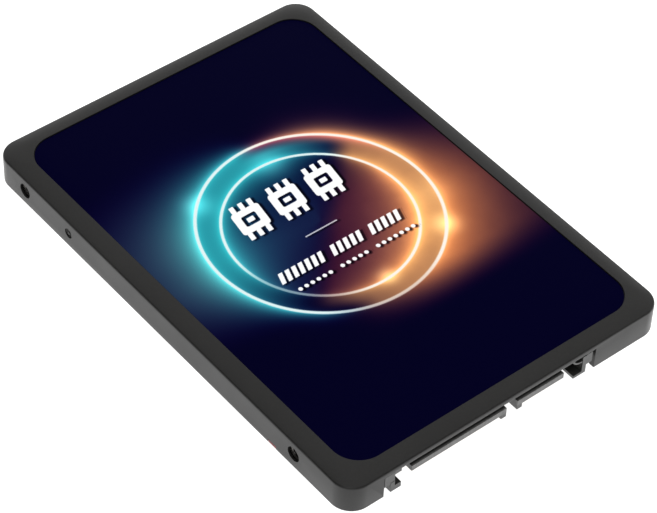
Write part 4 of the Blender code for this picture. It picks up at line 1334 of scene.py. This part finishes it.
def route_tracks():
    """Four buses from the controller to the flash, one to the memory and pairs to the plug."""
    tracks = []
    low, high = box_mm("controller_chip")
    middle = plan(low, high)[0][0]
    for number in range(1, 5):
        flash_low, flash_high = box_mm(f"flash_chip_{number}")
        target = plan(flash_low, flash_high)[0][0]
        for lane in range(BUS_LANES):
            shift = (lane - BUS_LANES // 2) * TRACK_PITCH
            start = middle + (number - 2.5) * BUS_PITCH + shift
            end = target + shift * 1.6
            rank = lane if end < start else BUS_LANES - 1 - lane
            turn = high.y + 1.0 + (1.5 - abs(number - 2.5)) * 3.0 + rank * LANE_STEP
            level = turn + min(abs(end - start) * 0.3, 1.6)
            points = [(start, high.y - 0.3), (start, turn), (end, level), (end, flash_low.y + 0.3)]
            tracks.append(track(points))
    dram_low, _ = box_mm("dram_chip")
    for lane in range(MEMORY_LANES):
        y = MEMORY_START_Y + lane * MEMORY_PITCH
        tracks.append(track(meander(high.x - 0.3, dram_low.x + 0.3, y, 3 + lane % 3)))
    for lane, x in enumerate(PLUG_LANES_X):
        start = middle + 2.6 + lane * 0.4
        bend = low.y - 4.6 - lane * 0.4
        points = [(start, low.y + 0.3), (start, bend), (x, bend - abs(x - start) * 0.6), (x, PLUG_TAIL_Y)]
        tracks.append(track(points))
    return tracks


def meander(left, right, y, bends):
    """A track along X with square waves that make up its length."""
    points = [(left, y)]
    first = left + 1.0
    for bend in range(bends):
        x = first + bend * 0.72
        points += [(x, y), (x + 0.1, y + 0.5), (x + 0.26, y + 0.5), (x + 0.36, y)]
    points.append((right, y))
    return points


def printed_frames(names):
    """Thin printed outlines round the packages, open at one corner."""
    lines = []
    for name in names:
        low, high = box_mm(name)
        left, right = low.x - FRAME_GAP, high.x + FRAME_GAP
        front, rear = low.y - FRAME_GAP, high.y + FRAME_GAP
        points = [(left + 1.0, rear), (right, rear), (right, front), (left, front), (left, rear - 1.0)]
        for first, second in zip(points, points[1:]):
            lines.append(track([first, second], 0.12, BOARD_TOP, BOARD_TOP + 0.05))
        lines.append(rod((left - 0.35, rear + 0.2, BOARD_TOP + 0.02), 0.2, 0.06, segments=16))
    return lines


def scatter_vias(taken):
    """Small plated holes where the board is free."""
    chance = random.Random(VIA_SEED)
    vias = []
    for _ in range(VIA_COUNT):
        x = chance.uniform(BOARD_LOW.x + 1, BOARD_HIGH.x - 1)
        y = chance.uniform(BOARD_LOW.y + 3, BOARD_HIGH.y - 1)
        if is_free(taken, (x, y), 0.2, 0.2):
            vias.append(washer((x, y), *VIA_RADII, TRACK_LOW, TRACK_HIGH + 0.02, 12))
    return vias


def plug_joints():
    """Solder on each contact's tail."""
    mounds = []
    for name in sorted(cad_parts):
        if "contact" in name:
            low, high = box_mm(name)
            middle = (low.x + high.x) / 2
            mounds.append(fillet((middle, high.y - 0.3), (high.x - low.x + 0.18, 1.7), 0.17))
    return mounds


PRESSED_BODIES = {
    "ferrite": ((0.045, 0.043, 0.040), (0.075, 0.072, 0.068)),
    "polymer_case": ((0.34, 0.18, 0.025), (0.44, 0.25, 0.04)),
    "polarity_band": ((0.055, 0.028, 0.012), (0.09, 0.05, 0.02)),
    "tan_ceramic": ((0.19, 0.12, 0.07), (0.27, 0.18, 0.11)),
    "white_alumina": ((0.55, 0.55, 0.53), (0.70, 0.70, 0.68)),
    "black_glaze": ((0.012, 0.012, 0.013), (0.022, 0.022, 0.023)),
    "printed_outline": ((0.62, 0.63, 0.60), (0.74, 0.75, 0.72)),
}


def fit_out_board():
    """Every package, small part, track and solder joint on the board."""
    tin = tinned_metal("part_tin")
    gold = contact_gold("pad_gold")
    laminate = laminate_edge()
    epoxy = chip_epoxy()
    pressed = {name: pressed_body(name, *tones) for name, tones in PRESSED_BODIES.items()}

    chips = ["controller_chip", "dram_chip"] + [f"flash_chip_{number}" for number in range(1, 5)]
    for name in chips:
        grid_chip(name, laminate, epoxy, tin)
    leadless_chip("power_chip", epoxy, tin)
    for number in (1, 2):
        wound_inductor(f"inductor_{number}", pressed["ferrite"], tin)
    for number in range(1, 5):
        name = f"bulk_capacitor_{number}"
        moulded_capacitor(name, pressed["polymer_case"], pressed["polarity_band"], tin)
    crystal_can(tin, pressed["white_alumina"])

    kit = {"taken": taken_places()}
    for kind in ("capacitor", "resistor", "glaze", "ends", "solder", "moulded", "leads"):
        kit[kind] = []
    for chip in LEADED_CHIPS:
        add_leaded_chip(kit, *chip)
    place_small_parts(kit)
    kit["solder"] += plug_joints()
    for name, kind, material, slot in (
        ("ceramic_capacitors", "capacitor", pressed["tan_ceramic"], "component_body"),
        ("resistor_bodies", "resistor", pressed["white_alumina"], "component_body"),
        ("resistor_glaze", "glaze", pressed["black_glaze"], "component_body"),
        ("part_ends", "ends", tin, "tinned_metal"),
        ("small_packages", "moulded", epoxy, "chip_epoxy"),
        ("package_leads", "leads", tin, "tinned_metal"),
        ("solder_fillets", "solder", tin, "tinned_metal"),
    ):
        piece(name, gather(kit[kind]), material, "base")
    piece("board_tracks", gather(route_tracks()), masked_copper(), "base")
    piece("board_vias", gather(scatter_vias(kit["taken"])), gold, "base")
    rings = []
    for number in range(1, 5):
        middle, _ = plan(*box_mm(f"board_screw_{number}"))
        rings.append(washer(middle, *SCREW_PAD_RADII, TRACK_LOW, BOARD_TOP + 0.03))
    for place in FIDUCIALS:
        rings.append(rod((*place, BOARD_TOP + 0.01), 0.5, 0.05, segments=24))
    piece("screw_pads", gather(rings), gold, "base")
    frames = printed_frames(chips + ["power_chip", "crystal"])
    piece("board_print", gather(frames), pressed["printed_outline"], "base")


# ==== Stage, light and camera ====
def make_stage():
    """A plain white floor with a little paper grain, clear from below so that the underside shows."""
    floor_mesh = bmesh.new()
    bmesh.ops.create_grid(floor_mesh, x_segments=8, y_segments=8, size=1500.0)
    paint = Paint("stage_white", (FLOOR_WHITE,) * 3, 0.9, Specular_IOR_Level=0.0)
    tone = paint.noise(40.0, 3.0)
    paint.colour(paint.blend(tone, (FLOOR_WHITE - 0.01,) * 3, (FLOOR_WHITE + 0.01,) * 3))
    paint.shader.inputs["Emission Color"].default_value = (1.0, 1.0, 1.0, 1.0)
    paint.shader.inputs["Emission Strength"].default_value = FLOOR_GLOW
    see_through = paint.tree.nodes.new("ShaderNodeBsdfTransparent")
    sides = paint.tree.nodes.new("ShaderNodeNewGeometry")
    mix = paint.tree.nodes.new("ShaderNodeMixShader")
    paint.tree.links.new(sides.outputs["Backfacing"], mix.inputs[0])
    paint.tree.links.new(paint.shader.outputs[0], mix.inputs[1])
    paint.tree.links.new(see_through.outputs[0], mix.inputs[2])
    paint.tree.links.new(mix.outputs[0], paint.tree.nodes["Material Output"].inputs["Surface"])
    floor = placed("stage_floor", mesh_from("stage_floor", floor_mesh, [paint.material]))
    floor.location.z = -FLOOR_DROP * MM


KEY_STRENGTH = 2.7
KEY_ANGLE = 80
KEY_TILT = (-4, 4, 0)
SKY_LEVEL = 0.6
SKY_NEAR = 0.09
NEAR_X = (-0.6, -0.12)
NEAR_Y = (-0.95, -0.3)
BOUNCE = (-0.543, -0.471, 0.696)
BOUNCE_SPREAD = (0.90, 0.985)
BOUNCE_LEVEL = 1.3
FLOOR_GLOW = 1.0
FLOOR_DROP = 0.03
FLOOR_WHITE = 0.35


def make_light():
    """A wide matt key from above, an even surround and a soft card behind the camera."""
    sun = bpy.data.lights.new("key", "SUN")
    sun.energy = KEY_STRENGTH
    sun.angle = math.radians(KEY_ANGLE)
    key = placed("key", sun)
    key.rotation_euler = [math.radians(turn) for turn in KEY_TILT]
    key.visible_glossy = False

    world = bpy.data.worlds.new("surround")
    world.use_nodes = True
    bpy.context.scene.world = world
    tree = world.node_tree
    background = tree.nodes["Background"]
    place = tree.nodes.new("ShaderNodeTexCoord")
    split = tree.nodes.new("ShaderNodeSeparateXYZ")
    tree.links.new(place.outputs["Generated"], split.inputs[0])
    x, y, z = [Value(tree, output) for output in split.outputs]
    near = smaller(smooth(*NEAR_X, x), smooth(*NEAR_Y, y))
    patch = smooth(*BOUNCE_SPREAD, x * BOUNCE[0] + y * BOUNCE[1] + z * BOUNCE[2])
    level = near * (SKY_LEVEL - SKY_NEAR) + patch * BOUNCE_LEVEL + SKY_NEAR
    join = tree.nodes.new("ShaderNodeCombineColor")
    for socket in join.inputs:
        tree.links.new(level.source, socket)
    tree.links.new(join.outputs[0], background.inputs["Color"])
    background.inputs["Strength"].default_value = 1.0


def make_camera():
    azimuth = math.radians(CAMERA_AZIMUTH)
    elevation = math.radians(CAMERA_ELEVATION)
    roll = math.radians(CAMERA_ROLL)
    flat = math.cos(elevation)
    back = Vector((math.sin(azimuth) * flat, -math.cos(azimuth) * flat, math.sin(elevation)))
    level = Vector((0, 0, 1)).cross(back).normalized()
    upright = back.cross(level)
    right = level * math.cos(roll) + upright * math.sin(roll)
    up = upright * math.cos(roll) - level * math.sin(roll)
    place = (Vector(CAMERA_TARGET) + back * CAMERA_DISTANCE) * MM
    data = bpy.data.cameras.new("camera")
    data.lens = CAMERA_LENS
    data.sensor_width = SENSOR_WIDTH
    data.clip_start = 0.01
    data.clip_end = 20.0
    camera = placed("camera", data)
    turn = Matrix((right, up, back)).transposed().to_4x4()
    camera.matrix_world = Matrix.Translation(place) @ turn
    bpy.context.scene.camera = camera


def set_colour_view():
    scene = bpy.context.scene
    scene.view_settings.view_transform = "Standard"
    scene.view_settings.look = "None"


# ==== The whole scene ====
def dress_nodes(case):
    """Materials and rounded edges for the CAD nodes that stay."""
    plug = plug_plastic()
    gold = contact_gold()
    tin = tinned_metal()
    steel = turned_steel("screw_steel", (0.42, 0.42, 0.43), (0.30, 0.30, 0.31))
    make_nuts(turned_steel("nut_metal", (0.13, 0.125, 0.12), (0.08, 0.077, 0.072)))
    refine("bottom_cover", case, 0.12)
    refine("bottom_label", under_label_paper())
    refine("seal_sticker", seal_film())
    refine("circuit_board", solder_mask(), 0.05, 1)
    refine("connector_housing", plug, 0.15, 3)
    pad = heat_pad()
    for name in sorted(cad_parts):
        if "contact" in name:
            refine(name, gold, 0.03)
        elif name.startswith("hold_down"):
            refine(name, tin, 0.05)
        elif name.startswith("board_screw"):
            refine(name, steel, 0.05)
        elif name.endswith("_pad"):
            refine(name, pad, 0.1)


case = case_plastic()
make_top_shell(case)
make_label(printed_label())
dress_nodes(case)
fit_out_board()
make_stage()
make_light()
make_camera()
set_colour_view()
